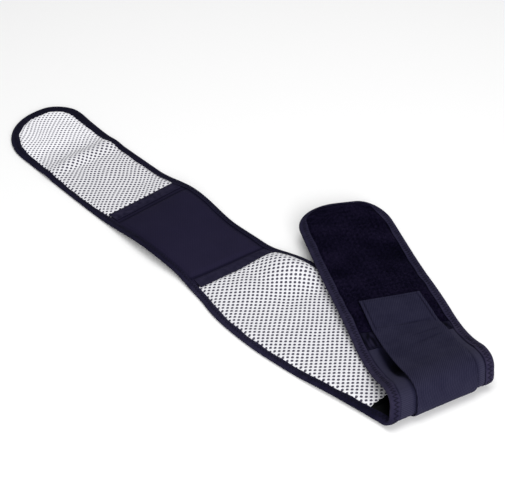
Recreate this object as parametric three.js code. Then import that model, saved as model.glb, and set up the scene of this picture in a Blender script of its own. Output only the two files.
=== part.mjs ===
// A heated lumbar belt laid out on a flat floor, lining side up. Sizes are millimetres.
// The cloth is drawn as a flat cut pattern: "along" runs from the rounded left tip to the
// rounded closing tab, "across" runs from the edge nearest the viewer to the far edge, and
// "lift" is measured off the outer face towards the lining. surface() lays the pattern on
// the floor and rolls its right arm back over itself.
import * as THREE from 'three';

// Lengths of the sections, one after the other along the belt
const LEFT_MESH_LENGTH = 327.8;
const HEAT_PAD_LENGTH = 197.7;
const BACK_MESH_LENGTH = 299.8;
const ELASTIC_LENGTH = 180;
const JOINING_LENGTH = 23;
const TAB_LENGTH = 266;
const ARM_WIDTH = 140;

// Edge binding
const BINDING_WIDTH = 12;
const BINDING_CLOTH = 0.8;
const GAP = 0.3;
const EDGE_CLEARANCE = 1.1;

// Layers of cloth
const SHELL_THICKNESS = 2.0;
const MESH_THICKNESS = 2.8;
const HEAT_PAD_THICKNESS = 4.4;
const HEAT_PAD_SHOULDER = 9;
const PRESSED_LINING = 1.2;
const SOFT_STEP = 2.2;
const PLUSH_THICKNESS = 2.2;
const ELASTIC_OUTSIDE = 0.5;
const JOINING_CLOTH = 0.7;
const TAPE_CLOTH = 0.9;
const TAPE_LEFT_WIDTH = 21.5;
const TAPE_RIGHT_WIDTH = 18.5;

// Tension strap and the two hook patches
const STRAP_CLOTH = 1.4;
const STRAP_TUCK = 49;
const STRAP_OVERLAP = 56;
const HOOK_CLOTH = 1.2;
const STRAP_HOOK_LENGTH = 46;
const STRAP_HOOK_INSET = 5;
const TAB_HOOK_LENGTH = 80;
const TAB_HOOK_INSET = 20;

// The roll at the right: where the arm leaves the floor and how it turns back
const FOLD_PAST_SEAM = 32.7;
const FOLD_SKEW = 10.56;
const ROLL_RADIUS = 17;
const RETURN_TWIST = 5.3;
const RETURN_TWIST_LENGTH = 240;

// What follows from the sizes above
const SEAM_LEFT = LEFT_MESH_LENGTH;
const SEAM_RIGHT = SEAM_LEFT + HEAT_PAD_LENGTH;
const SEAM_ELASTIC = SEAM_RIGHT + BACK_MESH_LENGTH;
const SEAM_JOINING = SEAM_ELASTIC + ELASTIC_LENGTH;
const SEAM_TAB = SEAM_JOINING + JOINING_LENGTH;
const BELT_LENGTH = SEAM_TAB + TAB_LENGTH;
const EDGE_THICKNESS = SHELL_THICKNESS + GAP + PRESSED_LINING + GAP + BINDING_CLOTH;
const FOLD_AT = SEAM_ELASTIC + FOLD_PAST_SEAM;
const FOLD_ACROSS = 0.607 * ARM_WIDTH;
const ROLL_LENGTH = Math.PI * ROLL_RADIUS;
const RISE = STRAP_CLOTH + GAP;
const STRAP_START = SEAM_ELASTIC - STRAP_TUCK;
const STRAP_END = SEAM_TAB + STRAP_OVERLAP;
const TAB_HOOK_END = BELT_LENGTH - TAB_HOOK_INSET - 2;
const TAB_HOOK_START = TAB_HOOK_END - TAB_HOOK_LENGTH;

// Cut pattern: both long edges, along as a share of BELT_LENGTH, edges as shares of ARM_WIDTH
const PATTERN = [
  { along: 0.000, near: 0.000, far: 0.965 },
  { along: 0.035, near: 0.000, far: 1.013 },
  { along: 0.065, near: 0.000, far: 0.992 },
  { along: 0.100, near: 0.000, far: 0.973 },
  { along: 0.200, near: -0.006, far: 0.971 },
  { along: 0.270, near: -0.001, far: 0.976 },
  { along: 0.335, near: 0.000, far: 0.970 },
  { along: 0.378, near: 0.012, far: 0.982 },
  { along: 0.404, near: -0.012, far: 0.993 },
  { along: 0.425, near: -0.038, far: 1.031 },
  { along: 0.446, near: -0.078, far: 1.076 },
  { along: 0.466, near: -0.097, far: 1.113 },
  { along: 0.495, near: -0.103, far: 1.128 },
  { along: 0.523, near: -0.092, far: 1.130 },
  { along: 0.571, near: -0.037, far: 1.121 },
  { along: 0.615, near: 0.034, far: 1.116 },
  { along: 0.659, near: 0.095, far: 1.122 },
  { along: 0.713, near: 0.139, far: 1.139 },
  { along: 0.790, near: 0.180, far: 1.187 },
  { along: 0.867, near: 0.230, far: 1.215 },
  { along: 0.944, near: 0.280, far: 1.259 },
  { along: 1.000, near: 0.319, far: 1.262 },
];

// Rounded corners: lengths as shares of ARM_WIDTH
const CORNERS = {
  tip: { near: { along: 0.76, across: 0.68 }, far: { along: 0.30, across: 0.24 } },
  tab: { near: { along: 0.36, across: 0.48 }, far: { along: 0.355, across: 0.26 } },
};

// Arcs of the roll and of the run back to the tab: length as a share of ARM_WIDTH, turn in degrees
const ROLL = [
  { length: ROLL_LENGTH / 2 / ARM_WIDTH, turn: 90 },
  { length: ROLL_LENGTH / 2 / ARM_WIDTH, turn: 90 },
  { length: 0.179, turn: 28.8 },
  { length: 0.250, turn: -14.9 },
  { length: 0.357, turn: -20.5 },
  { length: 0.500, turn: 6.5 },
  { length: 0.714, turn: -5.5 },
];

// Ridges in the floor part: crest position and half length at each edge as shares of
// BELT_LENGTH, heights (near edge, middle, crest, far edge) as shares of ARM_WIDTH
const CREST_SHARES = [0, 0.5, 0.82, 1];
const RIDGES = [
  { name: 'crease in the left mesh', near: 0.134, far: 0.123, nearReach: 0.015, farReach: 0.019, heights: [0.015, 0.044, 0.034, 0.012] },
  { name: 'wave under the heat panel', near: 0.329, far: 0.277, nearReach: 0.092, farReach: 0.072, heights: [0.070, 0.086, 0.090, 0.082] },
  { name: 'far edge of the back', near: 0.431, far: 0.446, nearReach: 0.046, farReach: 0.054, heights: [0.002, 0.034, 0.110, 0.043] },
];

// Slant of the rows across the belt: along change per mm across
const SLANTS = [
  { at: 0.303 * LEFT_MESH_LENGTH, slant: 0 }, { at: 0.482 * LEFT_MESH_LENGTH, slant: -0.128 }, { at: SEAM_LEFT, slant: 0 },
  { at: SEAM_RIGHT, slant: 0.07 }, { at: SEAM_ELASTIC, slant: -0.05 }, { at: SEAM_ELASTIC + 0.105 * ELASTIC_LENGTH, slant: 0.1864 },
  { at: SEAM_ELASTIC + 0.867 * ELASTIC_LENGTH, slant: 0.1864 }, { at: SEAM_TAB, slant: -0.07 },
  { at: SEAM_TAB + 0.21 * TAB_LENGTH, slant: -0.02 }, { at: SEAM_TAB + 0.44 * TAB_LENGTH, slant: 0 },
];

// Rows between the seams, each run divided evenly
const RUNS = [
  { to: 0.303 * LEFT_MESH_LENGTH, rows: 3 }, { to: 0.41 * LEFT_MESH_LENGTH, rows: 1 }, { to: 0.555 * LEFT_MESH_LENGTH, rows: 6 },
  { to: 0.844 * LEFT_MESH_LENGTH, rows: 2 }, { to: SEAM_LEFT - TAPE_LEFT_WIDTH / 2 - GAP - SOFT_STEP, rows: 2 },
  { to: SEAM_LEFT - TAPE_LEFT_WIDTH / 2, rows: 1 }, { to: SEAM_LEFT + TAPE_LEFT_WIDTH / 2, rows: 2 },
  { to: SEAM_LEFT + TAPE_LEFT_WIDTH / 2 + GAP + SOFT_STEP, rows: 1 },
  { to: SEAM_RIGHT - TAPE_RIGHT_WIDTH / 2 - GAP - HEAT_PAD_SHOULDER, rows: 12 }, { to: SEAM_RIGHT - TAPE_RIGHT_WIDTH / 2, rows: 1 },
  { to: SEAM_RIGHT + TAPE_RIGHT_WIDTH / 2, rows: 2 }, { to: SEAM_RIGHT + TAPE_RIGHT_WIDTH / 2 + GAP + SOFT_STEP, rows: 1 },
  { to: SEAM_RIGHT + 0.369 * BACK_MESH_LENGTH, rows: 7 }, { to: SEAM_RIGHT + 0.687 * BACK_MESH_LENGTH, rows: 3 },
  { to: STRAP_START, rows: 2 }, { to: SEAM_ELASTIC, rows: 2 }, { to: FOLD_AT, rows: 2 },
];
const TAIL_RUNS = [
  { to: SEAM_JOINING, rows: 1 }, { to: SEAM_TAB, rows: 1 }, { to: STRAP_END, rows: 3 }, { to: TAB_HOOK_START, rows: 3 },
  { to: TAB_HOOK_END, rows: 3 },
];

// Rows in each of the first arcs of the roll
const ROLL_ROWS = [5, 5, 3, 2];

const clamp01 = (x) => Math.min(1, Math.max(0, x));
const mix = (a, b, k) => a + (b - a) * k;
const smooth = (x) => { const k = clamp01(x); return k * k * (3 - 2 * k); };

// Piecewise linear reading of a table
function read(table, key, value, x) {
  if (x <= table[0][key]) return table[0][value];
  for (let i = 1; i < table.length; i += 1) {
    if (x <= table[i][key]) {
      return mix(table[i - 1][value], table[i][value], (x - table[i - 1][key]) / (table[i][key] - table[i - 1][key]));
    }
  }
  return table[table.length - 1][value];
}

// Smooth reading of an edge of the cut pattern
function patternEdge(side, along) {
  const x = clamp01(along / BELT_LENGTH);
  let i = 1;
  while (i < PATTERN.length - 1 && x > PATTERN[i].along) i += 1;
  const a = PATTERN[i - 1], b = PATTERN[i];
  const before = PATTERN[Math.max(0, i - 2)], after = PATTERN[Math.min(PATTERN.length - 1, i + 1)];
  const span = b.along - a.along, k = (x - a.along) / span;
  const slopeA = (b[side] - before[side]) / (b.along - before.along) * span;
  const slopeB = (after[side] - a[side]) / (after.along - a.along) * span;
  const k2 = k * k, k3 = k2 * k;
  return ARM_WIDTH * ((2 * k3 - 3 * k2 + 1) * a[side] + (k3 - 2 * k2 + k) * slopeA
    + (3 * k2 - 2 * k3) * b[side] + (k3 - k2) * slopeB);
}

// One rounded corner of the outline as points, from the belt's end inwards
const CORNER_STEPS = 11;
function cornerPath(side, end) {
  const inward = side === 'near' ? 1 : -1;
  const corner = CORNERS[end][side], length = corner.along * ARM_WIDTH;
  return Array.from({ length: CORNER_STEPS + 1 }, (_, i) => {
    const angle = Math.PI / 2 * i / CORNER_STEPS;
    const inside = length * (1 - Math.cos(angle));
    const along = end === 'tip' ? inside : BELT_LENGTH - inside;
    return [along, patternEdge(side, along) + inward * corner.across * ARM_WIDTH * (1 - Math.sin(angle))];
  });
}

// One long edge from tip to tab, its rounded corners included
function edgePath(side, rows) {
  const tip = cornerPath(side, 'tip'), tab = cornerPath(side, 'tab').reverse();
  const from = tip[CORNER_STEPS][0], to = tab[0][0];
  const body = rows.filter((row) => row > from + 3 && row < to - 3).map((row) => [row, patternEdge(side, row)]);
  return [...tip, ...body, ...tab];
}

// Unit vectors pointing into the belt from a closed outline walked near edge first
function inwardNormals(outline) {
  const n = outline.length;
  return outline.map((p, i) => {
    const a = outline[(i + n - 1) % n], b = outline[(i + 1) % n];
    const before = [p[0] - a[0], p[1] - a[1]], after = [b[0] - p[0], b[1] - p[1]];
    const la = Math.hypot(...before), lb = Math.hypot(...after);
    const x = before[0] / la + after[0] / lb, y = before[1] / la + after[1] / lb;
    const l = Math.hypot(x, y);
    return [-y / l, x / l];
  });
}

const finePositions = Array.from({ length: 650 }, (_, i) => i * 2);
const fineOutline = [...edgePath('near', finePositions), ...edgePath('far', finePositions).reverse()];
const fineNormals = inwardNormals(fineOutline);
const nearCount = edgePath('near', finePositions).length;
const insetLines = new Map();

// Across position of a line that runs a fixed distance inside one edge
function insetLine(side, distance, along) {
  const key = `${side}${distance}`;
  if (!insetLines.has(key)) {
    const points = fineOutline.map((p, i) => [p[0] + fineNormals[i][0] * distance, p[1] + fineNormals[i][1] * distance]);
    insetLines.set(key, side === 'near' ? points.slice(0, nearCount) : points.slice(nearCount).reverse());
  }
  const line = insetLines.get(key);
  if (along <= line[0][0]) return line[0][1];
  for (let i = 1; i < line.length; i += 1) {
    if (along <= line[i][0]) {
      return mix(line[i - 1][1], line[i][1], (along - line[i - 1][0]) / (line[i][0] - line[i - 1][0]));
    }
  }
  return line[line.length - 1][1];
}

function shareAcross(along, across) {
  const near = patternEdge('near', along), far = patternEdge('far', along);
  return clamp01((across - near) / (far - near));
}

// Height of the floor part over the floor
function ridgeHeight(along, across) {
  const share = shareAcross(along, across);
  let height = 0;
  for (const ridge of RIDGES) {
    const crest = BELT_LENGTH * mix(ridge.near, ridge.far, share);
    const distance = Math.abs(along - crest) / (BELT_LENGTH * mix(ridge.nearReach, ridge.farReach, share));
    if (distance >= 1) continue;
    let i = 1;
    while (i < CREST_SHARES.length - 1 && share > CREST_SHARES[i]) i += 1;
    const k = smooth((share - CREST_SHARES[i - 1]) / (CREST_SHARES[i] - CREST_SHARES[i - 1]));
    height += ARM_WIDTH * mix(ridge.heights[i - 1], ridge.heights[i], k) * Math.cos(Math.PI / 2 * distance) ** 2;
  }
  return height;
}

// The roll sags forward low on its front: how far, and where the sag runs along the roll
const SAG = { depth: 0.28 * ROLL_RADIUS, from: 0.028 * ROLL_LENGTH, to: 0.618 * ROLL_LENGTH };
const sagAt = (length) => SAG.depth * Math.sin(Math.PI * clamp01((length - SAG.from) / (SAG.to - SAG.from))) ** 2;

// Forward and upward position after an arc length along the roll
function rollProfile(length) {
  let forward = 0, up = 0, heading = 0, left = length;
  for (const arc of ROLL) {
    const run = Math.min(left, arc.length * ARM_WIDTH);
    const bend = THREE.MathUtils.degToRad(arc.turn) / (arc.length * ARM_WIDTH);
    forward += (Math.sin(heading + bend * run) - Math.sin(heading)) / bend;
    up += (Math.cos(heading) - Math.cos(heading + bend * run)) / bend;
    heading += bend * run;
    left -= run;
    if (left <= 0) return [forward + sagAt(length) * Math.sin(heading), up - sagAt(length) * Math.cos(heading)];
  }
  return [forward + left * Math.cos(heading), up + left * Math.sin(heading)];
}

const skew = THREE.MathUtils.degToRad(FOLD_SKEW);
const cosSkew = Math.cos(skew), sinSkew = Math.sin(skew);

// Outer face of the cloth in space
function surface(along, across) {
  const u = along - FOLD_AT, v = across - FOLD_ACROSS;
  const past = u * cosSkew - v * sinSkew;
  const side = u * sinSkew + v * cosSkew;
  const rise = RISE * smooth((along - STRAP_START) / STRAP_TUCK + 1);
  if (past <= 0) return new THREE.Vector3(along, across, ridgeHeight(along, across) + rise);
  const [forward, up] = rollProfile(past);
  const twist = RETURN_TWIST * side / (ARM_WIDTH / 2) * clamp01((past - 1.75 * ROLL_LENGTH) / RETURN_TWIST_LENGTH);
  return new THREE.Vector3(
    FOLD_AT + forward * cosSkew + side * sinSkew,
    FOLD_ACROSS - forward * sinSkew + side * cosSkew,
    up - twist + rise,
  );
}

// A point of the cloth, lifted off its outer face
function clothPoint(along, across, lift) {
  const step = 0.05;
  const alongStep = surface(along + step, across).sub(surface(along - step, across));
  const acrossStep = surface(along, across + step).sub(surface(along, across - step));
  const normal = alongStep.cross(acrossStep).normalize();
  return surface(along, across).addScaledVector(normal, lift);
}

// How far the cloth layers stay inside the outline: at their edge, at the end of the part
// pressed under the binding, where they have their full thickness, and where the pad has
const FIRST_INSET = BINDING_CLOTH + EDGE_CLEARANCE;
const PRESSED_INSET = BINDING_WIDTH + 2 * GAP;
const FULL_INSET = PRESSED_INSET + SOFT_STEP;
const SHOULDER_INSET = PRESSED_INSET + HEAT_PAD_SHOULDER;

// Rows shared by every piece, so that stacked layers bend together
function buildStations() {
  const stations = [FIRST_INSET, PRESSED_INSET, FULL_INSET];
  let from = stations[2];
  for (const run of RUNS) {
    for (let i = 1; i <= run.rows; i += 1) stations.push(mix(from, run.to, i / run.rows));
    from = run.to;
  }
  let past = 0;
  ROLL.forEach((arc, index) => {
    const count = ROLL_ROWS[index] ?? 0;
    for (let i = 1; i <= count; i += 1) stations.push(FOLD_AT + (past + arc.length * ARM_WIDTH * i / count) / cosSkew);
    past += arc.length * ARM_WIDTH;
    if (count) from = stations[stations.length - 1];
  });
  for (const run of TAIL_RUNS) {
    for (let i = 1; i <= run.rows; i += 1) stations.push(mix(from, run.to, i / run.rows));
    from = run.to;
  }
  stations.push(BELT_LENGTH - FULL_INSET, BELT_LENGTH - PRESSED_INSET, BELT_LENGTH - FIRST_INSET);
  return stations;
}
const STATIONS = buildStations();
const slantAt = (at) => read(SLANTS, 'at', 'slant', at);

// Rows of one piece, with its own ends put in
function rowsBetween(from, to) {
  return [from, ...STATIONS.filter((at) => at > from + 0.6 && at < to - 0.6), to];
}

// Columns: a fixed distance inside an edge, or a share between the two soft steps
const CLOTH_COLUMNS = [
  { side: 'near', inset: FIRST_INSET }, { side: 'near', inset: PRESSED_INSET },
  { side: 'near', inset: FULL_INSET }, { side: 'near', inset: SHOULDER_INSET },
  { share: 0.28 }, { share: 0.58 }, { share: 0.84 },
  { side: 'far', inset: SHOULDER_INSET }, { side: 'far', inset: FULL_INSET },
  { side: 'far', inset: PRESSED_INSET }, { side: 'far', inset: FIRST_INSET },
];
const INNER_COLUMNS = CLOTH_COLUMNS.slice(1, -1);

// Where a column crosses a row, and how far that lies inside the belt's outline
function crossing(row, column) {
  let along = row, across = FOLD_ACROSS;
  for (let pass = 0; pass < 4; pass += 1) {
    if (column.side) across = insetLine(column.side, column.inset, along);
    else across = mix(insetLine('near', column.from ?? SHOULDER_INSET, along), insetLine('far', column.from ?? SHOULDER_INSET, along), column.share);
    along = row + slantAt(row) * (across - FOLD_ACROSS);
  }
  const inset = Math.min(column.inset ?? 1000, row, BELT_LENGTH - row);
  return { row, along, across, inset };
}

// Closed solid from two matching grids of points
function closedSolid(under, over) {
  const rows = under.length, columns = under[0].length, positions = [], index = [];
  for (const grid of [under, over]) for (const row of grid) for (const p of row) positions.push(p.x, p.y, p.z);
  const low = (i, j) => i * columns + j, high = (i, j) => (rows + i) * columns + j;
  const quad = (a, b, c, d) => index.push(a, b, c, a, c, d);
  for (let i = 0; i < rows - 1; i += 1) {
    for (let j = 0; j < columns - 1; j += 1) {
      quad(high(i, j), high(i + 1, j), high(i + 1, j + 1), high(i, j + 1));
      quad(low(i, j), low(i, j + 1), low(i + 1, j + 1), low(i + 1, j));
    }
    quad(low(i, 0), low(i + 1, 0), high(i + 1, 0), high(i, 0));
    quad(low(i + 1, columns - 1), low(i, columns - 1), high(i, columns - 1), high(i + 1, columns - 1));
  }
  for (let j = 0; j < columns - 1; j += 1) {
    quad(low(0, j + 1), low(0, j), high(0, j), high(0, j + 1));
    quad(low(rows - 1, j), low(rows - 1, j + 1), high(rows - 1, j + 1), high(rows - 1, j));
  }
  return solidFrom(positions, index);
}

function solidFrom(positions, index) {
  const geometry = new THREE.BufferGeometry();
  geometry.setAttribute('position', new THREE.Float32BufferAttribute(positions, 3));
  geometry.setIndex(index);
  geometry.computeVertexNormals();
  return geometry;
}

// A piece of cloth between two lifts, which may depend on the place
function clothPiece({ from, to, columns, under, over }) {
  const grid = (lift) => rowsBetween(from, to).map((row) => columns.map((column) => {
    const place = crossing(row, column);
    return clothPoint(place.along, place.across, typeof lift === 'number' ? lift : lift(place));
  }));
  return closedSolid(grid(under), grid(over));
}

// Lifts of the layers. Under the binding and the tapes the cloth is pressed thin.
const PRESSED_LOW = BINDING_CLOTH + GAP;
const LINING_LOW = SHELL_THICKNESS + GAP;
const PRESSED_HIGH = LINING_LOW + PRESSED_LINING;
const freedom = (distance, step) => smooth(distance / step);
const clearOfBinding = (place, step) => freedom(place.inset - PRESSED_INSET, step);
const clearOfSeam = (place, seam, tape, step) => freedom(Math.abs(place.row - seam) - tape / 2 - GAP, step);
const shellUnder = (place) => mix(PRESSED_LOW, 0, clearOfBinding(place, SOFT_STEP));
const meshOver = (place) => mix(PRESSED_HIGH, LINING_LOW + MESH_THICKNESS, Math.min(
  clearOfBinding(place, SOFT_STEP),
  clearOfSeam(place, SEAM_LEFT, TAPE_LEFT_WIDTH, SOFT_STEP),
  clearOfSeam(place, SEAM_RIGHT, TAPE_RIGHT_WIDTH, SOFT_STEP),
));
const padOver = (place) => mix(PRESSED_HIGH, LINING_LOW + HEAT_PAD_THICKNESS, Math.min(
  clearOfBinding(place, HEAT_PAD_SHOULDER),
  clearOfSeam(place, SEAM_LEFT, TAPE_LEFT_WIDTH, HEAT_PAD_SHOULDER),
  clearOfSeam(place, SEAM_RIGHT, TAPE_RIGHT_WIDTH, HEAT_PAD_SHOULDER),
));
const JOINING_LOW = PRESSED_LOW - GAP - JOINING_CLOTH;
const elasticUnder = (place) => (place.row > SEAM_JOINING - 1
  ? PRESSED_LOW
  : mix(PRESSED_LOW, ELASTIC_OUTSIDE, clearOfBinding(place, SOFT_STEP)));
const plushUnder = (place) => mix(PRESSED_LOW, 0, clearOfBinding(place, SOFT_STEP));

// The binding: a folded band swept round the whole outline
const BINDING_FOLD = BINDING_CLOTH + 0.1;
const BINDING_SECTION = [
  [BINDING_WIDTH, 0], [0, 0], [0, EDGE_THICKNESS], [BINDING_WIDTH, EDGE_THICKNESS],
  [BINDING_WIDTH, EDGE_THICKNESS - BINDING_CLOTH], [BINDING_FOLD, EDGE_THICKNESS - BINDING_CLOTH],
  [BINDING_FOLD, BINDING_CLOTH], [BINDING_WIDTH, BINDING_CLOTH],
];

// Sections of the binding along one edge: square to the outline round the corners, and along
// the cloth's rows between them
function edgeSections(side) {
  const walk = side === 'near' ? 1 : -1;
  const cornerSections = (end) => {
    const path = cornerPath(side, end);
    const sections = path.map((p, i) => {
      const a = path[Math.max(0, i - 1)], b = path[Math.min(path.length - 1, i + 1)];
      const turn = walk * (end === 'tip' ? 1 : -1);
      let x = turn * (b[0] - a[0]), y = turn * (b[1] - a[1]);
      if (i === 0) x = 0;
      const l = Math.hypot(x, y);
      return BINDING_SECTION.map(([inset, lift]) => clothPoint(p[0] - y / l * inset, p[1] + x / l * inset, lift));
    });
    return end === 'tip' ? sections : sections.reverse();
  };
  const from = CORNERS.tip[side].along * ARM_WIDTH + 8;
  const to = BELT_LENGTH - CORNERS.tab[side].along * ARM_WIDTH - 8;
  const rows = STATIONS.filter((row) => row > from && row < to);
  const body = rows.map((row) => BINDING_SECTION.map(([inset, lift]) => {
    const place = crossing(row, { side, inset });
    return clothPoint(place.along, place.across, lift);
  }));
  return [...cornerSections('tip'), ...body, ...cornerSections('tab')];
}

function bindingRing() {
  const sections = [...edgeSections('near'), ...edgeSections('far').reverse()];
  const positions = [], index = [], ring = BINDING_SECTION.length, count = sections.length;
  for (const section of sections) for (const p of section) positions.push(p.x, p.y, p.z);
  for (let i = 0; i < count; i += 1) {
    const j = (i + 1) % count;
    for (let k = 0; k < ring; k += 1) {
      const m = (k + 1) % ring;
      const a = i * ring + k, b = j * ring + k, c = j * ring + m, d = i * ring + m;
      // The diagonals run as in the cloth beside them, so that neighbours warp alike
      if (BINDING_SECTION[k][0] <= BINDING_SECTION[m][0]) index.push(a, b, c, a, c, d);
      else index.push(a, b, d, b, c, d);
    }
  }
  return solidFrom(positions, index);
}

// Tension strap: its side edges as shares of the belt's width, at shares of the strap's length,
// and how far it stands off the dip behind the roll, at shares of the way to the tab's seam
const STRAP_EDGES = [
  { at: 0, near: 0.235, far: 0.820 }, { at: 0.29, near: 0.248, far: 0.820 }, { at: 0.487, near: 0.224, far: 0.820 },
  { at: 0.714, near: 0.205, far: 0.828 },
  { at: 0.812, near: 0.198, far: 0.822 }, { at: 1, near: 0.212, far: 0.803 },
];
const STRAP_BRIDGE = [
  { at: 0, lift: 0 }, { at: 0.16, lift: 0.09 }, { at: 0.36, lift: 0.30 }, { at: 0.57, lift: 0.40 },
  { at: 0.80, lift: 0.27 }, { at: 1, lift: 0 },
];
const rollEnd = FOLD_AT + ROLL_LENGTH / cosSkew;
function strapLift(row) {
  const share = clamp01((row - rollEnd) / (SEAM_TAB - rollEnd));
  return ROLL_RADIUS * read(STRAP_BRIDGE, 'at', 'lift', share) + (HOOK_CLOTH + GAP) * smooth((share - 0.5) * 2);
}
const STRAP_SHARES = [0, 0.25, 0.5, 0.75, 1];

function strapPoint(row, share, lift, inset = 0) {
  let along = row, across = FOLD_ACROSS;
  for (let pass = 0; pass < 4; pass += 1) {
    const near = patternEdge('near', along), far = patternEdge('far', along);
    const part = (row - STRAP_START) / (STRAP_END - STRAP_START);
    const left = mix(near, far, read(STRAP_EDGES, 'at', 'near', part)) + inset;
    const right = mix(near, far, read(STRAP_EDGES, 'at', 'far', part)) - inset;
    across = mix(left, right, share);
    along = row + slantAt(row) * (across - FOLD_ACROSS);
  }
  return clothPoint(along, across, lift);
}

function strapPiece(from, to, inset, thickness, standOff) {
  const grid = (extra) => rowsBetween(from, to).map((row) => STRAP_SHARES.map((share) => (
    strapPoint(row, share, -GAP - extra - (standOff ? 0 : strapLift(row)), inset))));
  return closedSolid(grid(thickness), grid(0));
}

function tapePiece(seam, width) {
  return clothPiece({
    from: seam - width / 2, to: seam + width / 2, columns: INNER_COLUMNS.map((c) => (c.inset === PRESSED_INSET ? { ...c, inset: PRESSED_INSET + 0.1 } : c)),
    under: PRESSED_HIGH + GAP, over: PRESSED_HIGH + GAP + TAPE_CLOTH,
  });
}

const hookColumns = [
  { share: 0, from: TAB_HOOK_INSET }, { share: 0.33, from: TAB_HOOK_INSET }, { share: 0.67, from: TAB_HOOK_INSET }, { share: 1, from: TAB_HOOK_INSET },
];
const start = FIRST_INSET, end = BELT_LENGTH - FIRST_INSET, half = GAP / 2;

const PIECES = [
  { name: 'outer_shell', colour: 0x23222c, geometry: clothPiece({ from: start, to: SEAM_ELASTIC - half, columns: CLOTH_COLUMNS, under: shellUnder, over: SHELL_THICKNESS }) },
  { name: 'mesh_panel_left', colour: 0xd9d9de, geometry: clothPiece({ from: start, to: SEAM_LEFT - half, columns: CLOTH_COLUMNS, under: LINING_LOW, over: meshOver }) },
  { name: 'heat_panel', colour: 0x272734, geometry: clothPiece({ from: SEAM_LEFT + half, to: SEAM_RIGHT - half, columns: CLOTH_COLUMNS, under: LINING_LOW, over: padOver }) },
  { name: 'mesh_panel_back', colour: 0xd9d9de, geometry: clothPiece({ from: SEAM_RIGHT + half, to: SEAM_ELASTIC - half, columns: CLOTH_COLUMNS, under: LINING_LOW, over: meshOver }) },
  { name: 'seam_tape_left', colour: 0x24252d, geometry: tapePiece(SEAM_LEFT, TAPE_LEFT_WIDTH) },
  { name: 'seam_tape_right', colour: 0x24252d, geometry: tapePiece(SEAM_RIGHT, TAPE_RIGHT_WIDTH) },
  { name: 'edge_binding', colour: 0x1b1b26, geometry: bindingRing() },
  { name: 'elastic_panel', colour: 0x2b2b37, geometry: clothPiece({ from: SEAM_ELASTIC + half, to: SEAM_TAB - half, columns: CLOTH_COLUMNS, under: elasticUnder, over: PRESSED_HIGH }) },
  { name: 'joining_band', colour: 0x262631, geometry: clothPiece({ from: SEAM_JOINING + half, to: SEAM_TAB - half, columns: INNER_COLUMNS, under: JOINING_LOW, over: PRESSED_LOW - GAP }) },
  { name: 'loop_panel', colour: 0x14131a, geometry: clothPiece({ from: SEAM_TAB + half, to: end, columns: CLOTH_COLUMNS, under: plushUnder, over: PLUSH_THICKNESS }) },
  { name: 'tab_backing', colour: 0x20202a, geometry: clothPiece({ from: SEAM_TAB + half, to: end, columns: CLOTH_COLUMNS, under: PLUSH_THICKNESS + GAP, over: PRESSED_HIGH }) },
  { name: 'tab_hook_patch', colour: 0x1a1a20, geometry: clothPiece({ from: TAB_HOOK_START, to: TAB_HOOK_END, columns: hookColumns, under: PRESSED_HIGH + GAP, over: PRESSED_HIGH + GAP + HOOK_CLOTH }) },
  { name: 'tension_strap', colour: 0x2a2a38, geometry: strapPiece(STRAP_START, STRAP_END, 0, STRAP_CLOTH, false) },
  { name: 'strap_hook_patch', colour: 0x1a1a20, geometry: strapPiece(STRAP_END - STRAP_HOOK_INSET - STRAP_HOOK_LENGTH, STRAP_END - STRAP_HOOK_INSET, STRAP_HOOK_INSET, HOOK_CLOTH, true) },
];

// Centre the belt over the origin, resting on Z = 0
const box = new THREE.Box3();
for (const piece of PIECES) {
  piece.geometry.computeBoundingBox();
  box.union(piece.geometry.boundingBox);
}
const belt = new THREE.Group();
belt.name = 'heated_lumbar_belt';
for (const piece of PIECES) {
  piece.geometry.translate(-(box.min.x + box.max.x) / 2, -(box.min.y + box.max.y) / 2, -box.min.z);
  const mesh = new THREE.Mesh(piece.geometry, new THREE.MeshStandardMaterial({ color: piece.colour, roughness: 0.9, metalness: 0 }));
  mesh.name = piece.name;
  belt.add(mesh);
}

export default belt;
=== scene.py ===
import math

import bpy
import numpy as np
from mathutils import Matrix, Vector


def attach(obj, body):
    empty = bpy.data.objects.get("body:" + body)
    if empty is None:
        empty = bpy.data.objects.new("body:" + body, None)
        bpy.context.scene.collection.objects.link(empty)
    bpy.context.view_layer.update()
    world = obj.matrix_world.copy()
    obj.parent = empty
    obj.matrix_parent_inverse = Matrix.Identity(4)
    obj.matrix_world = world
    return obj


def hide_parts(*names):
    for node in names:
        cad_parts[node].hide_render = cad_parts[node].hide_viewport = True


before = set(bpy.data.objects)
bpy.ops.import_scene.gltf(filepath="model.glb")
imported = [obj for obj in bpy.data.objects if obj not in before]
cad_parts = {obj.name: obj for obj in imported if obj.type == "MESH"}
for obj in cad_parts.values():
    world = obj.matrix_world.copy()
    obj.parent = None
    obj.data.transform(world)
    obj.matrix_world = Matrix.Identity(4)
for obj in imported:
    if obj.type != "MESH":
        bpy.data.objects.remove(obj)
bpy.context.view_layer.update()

# Named sizes of the belt in millimetres, the same as in the part's source
LEFT_MESH_LENGTH, HEAT_PAD_LENGTH, BACK_MESH_LENGTH = 327.8, 197.7, 299.8
ELASTIC_LENGTH, JOINING_LENGTH, TAB_LENGTH, ARM_WIDTH = 180.0, 23.0, 266.0, 140.0
BINDING_WIDTH, BINDING_CLOTH, GAP, EDGE_CLEARANCE = 12.0, 0.8, 0.3, 1.1
SHELL_THICKNESS, MESH_THICKNESS, HEAT_PAD_THICKNESS = 2.0, 2.8, 4.4
PRESSED_LINING, SOFT_STEP, PLUSH_THICKNESS, ELASTIC_OUTSIDE = 1.2, 2.2, 2.2, 0.5
JOINING_CLOTH, TAPE_CLOTH, TAPE_LEFT_WIDTH, TAPE_RIGHT_WIDTH = 0.7, 0.9, 21.5, 18.5
STRAP_CLOTH, STRAP_TUCK, STRAP_OVERLAP, HOOK_CLOTH = 1.4, 49.0, 56.0, 1.2
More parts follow.
